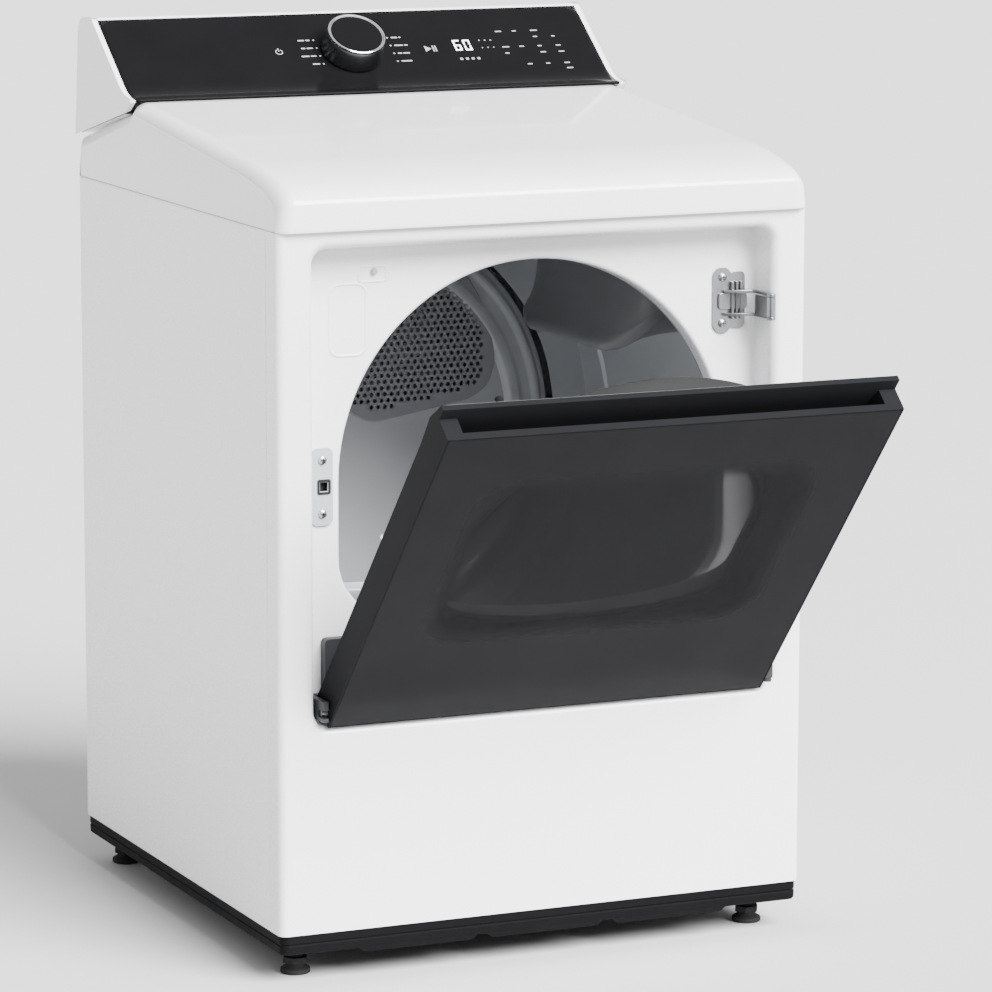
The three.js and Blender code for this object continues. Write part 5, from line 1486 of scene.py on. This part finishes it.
def baffle_section(drum, height):
    """Half outline of a baffle: from the drum's wall up a hollow flank to its round edge."""
    r = (DRUM_HIGH.x - DRUM_LOW.x) / 2 - drum.sheet - drum.rib - 2
    nose = drum.baffle_nose * (0.4 + 0.6 * height)
    tall = (drum.baffle - 4) * height
    side = []
    for k in range(13):
        t = k / 12
        wide = nose + (drum.baffle_foot - nose) * (1 - t) ** 1.35
        depth = t * (tall - nose)
        drop = wide * wide / (2 * r)
        side.append((r - drop * (1 - t) - depth, wide))
    tip = [(r - (tall - nose) - nose * math.sin(a), nose * math.cos(a)) for a in quarter(6)[1:]]
    half = side + tip
    return half + [(u, -v) for u, v in reversed(half[:-1])]


# Room before and behind the baffles in the drum
BAFFLE_FRONT = 40
BAFFLE_REAR = 100


def baffle(number):
    drum = Measures("drum")
    count = bpy.context.scene.dryer.drum.baffle_count
    angle = bpy.context.scene.dryer.drum.baffle_angle + number * 2 * math.pi / count
    front, rear = DRUM_LOW.y + BAFFLE_FRONT, DRUM_HIGH.y - BAFFLE_REAR
    stations = ((0, 0.16), (2, 0.34), (6, 0.52), (14, 0.72), (26, 0.86), (42, 0.95), (60, 1.0))
    places = [(front + d, h) for d, h in stations] + [(rear - d, h) for d, h in reversed(stations)]
    c, s = math.cos(angle), math.sin(angle)
    skin = Skin()
    rings = []
    for y, height in places:
        rings.append([(DRUM_AXIS.x + u * c - v * s, y, DRUM_AXIS.z + u * s + v * c)
                      for u, v in baffle_section(drum, height)])
    skin.loft(rings, caps=True)
    piece(skin.mesh(f"drum_baffle_{number + 1}", CABINET), "drum", "vane", [f"baffle_{number + 1}"],
          angle=50)


def front_bulkhead():
    recess = Measures("recess")
    low, high = corners("front_bulkhead")
    mouth = 296
    lip = recess.depth + recess.lip + 1.4
    stations = [opening_ring(recess, 1, lip), opening_ring(recess, -3, lip + 2),
                opening_ring(recess, -14, lip + 6)]
    stations += [circle_ring(recess, mouth - 4 * math.cos(t), DRUM_LOW.y - 10 + 8 * math.sin(t))
                 for t in quarter(5)]
    stations += [circle_ring(recess, mouth, DRUM_LOW.y + 12)]
    skin = Skin()
    skin.loft(stations)
    piece(skin.mesh("drum_throat", CABINET, outward=False), "cabinet", "drum", ["front_bulkhead"],
          sheet=1,
          angle=60)
    outline = rounded(low.x, high.x, 252, recess.high + 8, 6)
    hole = arc(DRUM_AXIS.x, DRUM_AXIS.z, mouth - 1, 0, 357.5, 143)
    plate = pierced("front_bulkhead_plate", outline, [hole], 2, CABINET @ upright(0, DRUM_LOW.y - 12, 0), 0.2)
    piece(plate, "cabinet", "galvanised")


INLET = ((22, 566), (160, 590), (186, 606), (196, 640), (186, 700), (150, 760), (112, 782), (60, 782),
         (-70, 782),
         (-112, 740), (-70, 650), (-10, 582))
INLET_MIDDLE = (45, 675)

# Distance between rows of holes as a share of the distance between holes
ROW_SHARE = 0.866


def shrunk(outline, share):
    """An outline drawn towards its middle."""
    x = sum(p[0] for p in outline) / len(outline)
    z = sum(p[1] for p in outline) / len(outline)
    return [(x + (u - x) * share, z + (v - z) * share) for u, v in outline]


def inside_by(outline, x, z, margin):
    """Whether a point lies inside a counterclockwise outline by more than a margin."""
    for (ax, az), (bx, bz) in zip(outline, [*outline[1:], outline[0]]):
        if ((bx - ax) * (z - az) - (bz - az) * (x - ax)) / math.hypot(bx - ax, bz - az) <= margin:
            return False
    return True


def rear_bulkhead():
    low, high = corners("rear_bulkhead")
    face = DRUM_HIGH.y + 8
    x, z = DRUM_AXIS.x, DRUM_AXIS.z
    rim = (DRUM_HIGH.x - DRUM_LOW.x) / 2 - 53.5
    ridge = [(206, 0), (209, -0.4), (213, -3.4), (217, -5), (224, -5), (228, -3.4), (232, -0.4), (235, 0),
             (243, 0),
             (246, -0.4), (249, -2.6), (253, -3.4), (256, -2.6), (259, 0.4), (262, 1.2), (rim - 2, 1.2),
             (rim, 3),
             (rim, high.y - face - 2)]
    skin = Skin()
    skin.turned([(r, face + d) for r, d in ridge], x, z, 144)
    ring = skin.mesh("rear_dish", CABINET, outward=False)
    piece(ring, "cabinet", "drum", ["rear_bulkhead"], sheet=-1, angle=60)
    hole = softened(shrunk(INLET, 0.955), 22, 6)
    disc = arc(x, z, 206.3, 0, 357.5, 143)
    plate = pierced("rear_face", disc, [hole], 1.2, CABINET @ upright(0, face, 0), 0.1)
    piece(plate, "cabinet", "drum")
    outline = rounded(low.x, high.x, 205, 880, 6)
    back = pierced("rear_bulkhead_plate", outline, [arc(x, z, rim - 1, 0, 357.5, 143)], 1.2,
                   CABINET @ upright(0, high.y - 1.4, 0), 0.1)
    piece(back, "cabinet", "galvanised")


def air_inlet():
    drum = Measures("drum")
    outline = softened(INLET, 24, 7)
    pitch = drum.pitch
    holes = []
    for row in range(-14, 15):
        for column in range(-20, 21):
            x = INLET_MIDDLE[0] + (column + (row % 2) / 2) * pitch
            z = INLET_MIDDLE[1] + row * pitch * ROW_SHARE
            if inside_by(INLET, x, z, 13):
                holes.append(arc(x, z, drum.hole, 0, 330, 11))
    face = DRUM_HIGH.y + 8
    plate = pierced("air_inlet_plate", outline, holes, 3.4, CABINET @ upright(0, face - 3.6, 0), 0.5)
    piece(plate, "cabinet", "inlet", ["air_inlet_grille"], angle=40)
    skirt = Skin()
    skirt.loft([[(x, y, z) for x, z in ring] for y, ring in
                ((face - 1.4, outline), (face - 0.2, softened(shrunk(INLET, 1.02), 24, 7)))])
    piece(skirt.mesh("air_inlet_flange", CABINET), "cabinet", "inlet")


# ---------- Machinery ----------

KEPT = {
    "knob_encoder": ("plastic", 0.4), "control_board": ("board", 0.2), "display_module": ("dark", 0.5),
    "drive_motor": ("aluminium", 0.8), "motor_pulley": ("steel", 0.3), "idler_arm": ("galvanised", 0.5),
    "idler_pulley": ("plastic", 0.3), "drive_belt": ("rubber", 0.3), "blower_housing": ("plastic", 0.8),
    "blower_wheel": ("plastic", 0.2), "lint_duct": ("plastic", 0.6), "lint_filter": ("plastic", 0.8),
    "exhaust_duct": ("galvanised", 0.2), "heater_housing": ("galvanised", 0.4), "heater_coil": ("heater", 0),
    "moisture_sensor": ("steel", 0.4),
}


def rollers():
    for place in FEET:
        keep(f"roller_{place}", "rubber", 0.8)


def lint_screen():
    low, high = corners("lint_filter")
    skin = Skin()
    y = low.y + 2.5
    for k in range(23):
        x = low.x + 10 + (high.x - low.x - 20) * k / 22
        skin.block(x - 0.5, x + 0.5, y, y + 1, low.z + 10, high.z - 26)
    for k in range(9):
        z = low.z + 12 + (high.z - low.z - 40) * k / 8
        skin.block(low.x + 8, high.x - 8, y + 1, y + 1.8, z - 0.5, z + 0.5)
    piece(skin.mesh("lint_screen", CABINET), "lint_filter", "vane")


# ---------- Studio ----------

# The way that the key light shines, and the angle in degrees that it spreads over
SUN_WAY = (-0.28, 0.72, -0.66)
SUN_SPREAD = 40


def studio():
    settings = bpy.context.scene.dryer.studio
    half, mesh = 60, bpy.data.meshes.new("floor")
    mesh.from_pydata([(-half, -half, 0), (half, -half, 0), (half, half, 0), (-half, half, 0)], [],
                     [(0, 1, 2, 3)])
    mesh.materials.append(finish("floor"))
    ground = bpy.data.objects.new("floor", mesh)
    bpy.context.scene.collection.objects.link(ground)
    world = bpy.data.worlds.new("studio")
    world.use_nodes = True
    background = world.node_tree.nodes["Background"]
    background.inputs["Color"].default_value = (1, 1, 1, 1)
    background.inputs["Strength"].default_value = settings.ambient
    bpy.context.scene.world = world
    sun_data = bpy.data.lights.new("key", "SUN")
    sun_data.energy = settings.key
    sun_data.angle = math.radians(SUN_SPREAD)
    sun = bpy.data.objects.new("key", sun_data)
    sun.rotation_euler = Vector(SUN_WAY).to_track_quat("-Z", "Y").to_euler()
    bpy.context.scene.collection.objects.link(sun)
    camera_data = bpy.data.cameras.new("camera")
    camera_data.lens = settings.lens
    camera_data.clip_end = 200
    camera = bpy.data.objects.new("camera", camera_data)
    stoop = Euler((math.pi / 2 - settings.stoop, 0, 0)).to_matrix()
    turn = (Euler((0, 0, -settings.turn)).to_matrix() @ stoop
            @ Euler((0, 0, settings.roll)).to_matrix())
    camera.matrix_world = Matrix.Translation(Vector(settings.stand) + ORIGIN) @ turn.to_4x4()
    bpy.context.scene.collection.objects.link(camera)
    bpy.context.scene.camera = camera


# ---------- Operators ----------

class DRYER_OT_base(bpy.types.Operator):
    """Build the black base and the four levelling feet"""

    bl_idname = "dryer.base"
    bl_label = "Base and Feet"
    bl_options = {"REGISTER", "UNDO"}

    def execute(self, context):
        base_tray()
        for place in FEET:
            levelling_foot(place)
        return {"FINISHED"}


class DRYER_OT_casing(bpy.types.Operator):
    """Build the front, side and rear panels"""

    bl_idname = "dryer.casing"
    bl_label = "Casing"
    bl_options = {"REGISTER", "UNDO"}

    def execute(self, context):
        front_panel()
        side_panel(-1, "left")
        side_panel(1, "right")
        pressed_marks()
        rear_panel()
        terminal_cover()
        return {"FINISHED"}


class DRYER_OT_cover(bpy.types.Operator):
    """Build the sloped top cover"""

    bl_idname = "dryer.cover"
    bl_label = "Top Cover"
    bl_options = {"REGISTER", "UNDO"}

    def execute(self, context):
        top_cover()
        return {"FINISHED"}


class DRYER_OT_console(bpy.types.Operator):
    """Build the console's glass, its marks and its white shell"""

    bl_idname = "dryer.console"
    bl_label = "Console"
    bl_options = {"REGISTER", "UNDO"}

    def execute(self, context):
        console_shell()
        console_glass()
        console_marks()
        return {"FINISHED"}


class DRYER_OT_knob(bpy.types.Operator):
    """Build the programme knob"""

    bl_idname = "dryer.knob"
    bl_label = "Knob"
    bl_options = {"REGISTER", "UNDO"}

    def execute(self, context):
        knob()
        return {"FINISHED"}


class DRYER_OT_hinges(bpy.types.Operator):
    """Build the hinges that the door swings and tilts on"""

    bl_idname = "dryer.hinges"
    bl_label = "Hinges"
    bl_options = {"REGISTER", "UNDO"}

    def execute(self, context):
        upper_hinge()
        lower_hinges()
        return {"FINISHED"}


class DRYER_OT_latch(bpy.types.Operator):
    """Build the latch and the door switch"""

    bl_idname = "dryer.latch"
    bl_label = "Latch"
    bl_options = {"REGISTER", "UNDO"}

    def execute(self, context):
        latch()
        return {"FINISHED"}


class DRYER_OT_door(bpy.types.Operator):
    """Build the door: frame, glass, liner, inner pane and seal"""

    bl_idname = "dryer.door"
    bl_label = "Door"
    bl_options = {"REGISTER", "UNDO"}

    def execute(self, context):
        door_frame()
        door_glass()
        door_liner()
        door_window()
        door_seal()
        return {"FINISHED"}


class DRYER_OT_drum(bpy.types.Operator):
    """Build the drum, its baffles and the bulkheads at its ends"""

    bl_idname = "dryer.drum"
    bl_label = "Drum"
    bl_options = {"REGISTER", "UNDO"}

    def execute(self, context):
        for number in range(context.scene.dryer.drum.baffle_count):
            baffle(number)
        drum_shell()
        front_bulkhead()
        rear_bulkhead()
        air_inlet()
        return {"FINISHED"}


class DRYER_OT_machinery(bpy.types.Operator):
    """Finish the rollers, the drive and the air path under the drum"""

    bl_idname = "dryer.machinery"
    bl_label = "Machinery"
    bl_options = {"REGISTER", "UNDO"}

    def execute(self, context):
        for node, (look, bevel) in KEPT.items():
            keep(node, look, bevel)
        rollers()
        lint_screen()
        return {"FINISHED"}


class DRYER_OT_studio(bpy.types.Operator):
    """Set up the floor, the lights and the camera"""

    bl_idname = "dryer.studio"
    bl_label = "Studio"
    bl_options = {"REGISTER", "UNDO"}

    def execute(self, context):
        studio()
        return {"FINISHED"}


OPERATORS = (DRYER_OT_studio, DRYER_OT_base, DRYER_OT_casing, DRYER_OT_cover, DRYER_OT_console, DRYER_OT_knob,
             DRYER_OT_hinges, DRYER_OT_latch, DRYER_OT_door, DRYER_OT_drum, DRYER_OT_machinery)


class DRYER_PT_sidebar(bpy.types.Panel):
    """Lists the dryer's sizes, colours and operators"""

    bl_idname = "DRYER_PT_sidebar"
    bl_label = "Clothes Dryer"
    bl_space_type = "VIEW_3D"
    bl_region_type = "UI"
    bl_category = "Dryer"

    def draw(self, context):
        for name in DryerSettings.__annotations__:
            group = getattr(context.scene.dryer, name)
            box = self.layout.box()
            box.label(text=name.title())
            for field in type(group).__annotations__:
                box.prop(group, field)
        for operator in OPERATORS:
            self.layout.operator(operator.bl_idname)


CLASSES = (RecessSizes, CabinetSizes, DoorSizes, DrumSizes, Finishes, StudioSettings, DryerSettings,
           *OPERATORS,
           DRYER_PT_sidebar)


def register():
    for item in CLASSES:
        bpy.utils.register_class(item)
    bpy.types.Scene.dryer = PointerProperty(type=DryerSettings)


def unregister():
    del bpy.types.Scene.dryer
    for item in reversed(CLASSES):
        bpy.utils.unregister_class(item)


def main():
    register()
    for operator in OPERATORS:
        getattr(bpy.ops.dryer, operator.bl_idname.split(".")[1])()


if __name__ == "__main__":
    main()
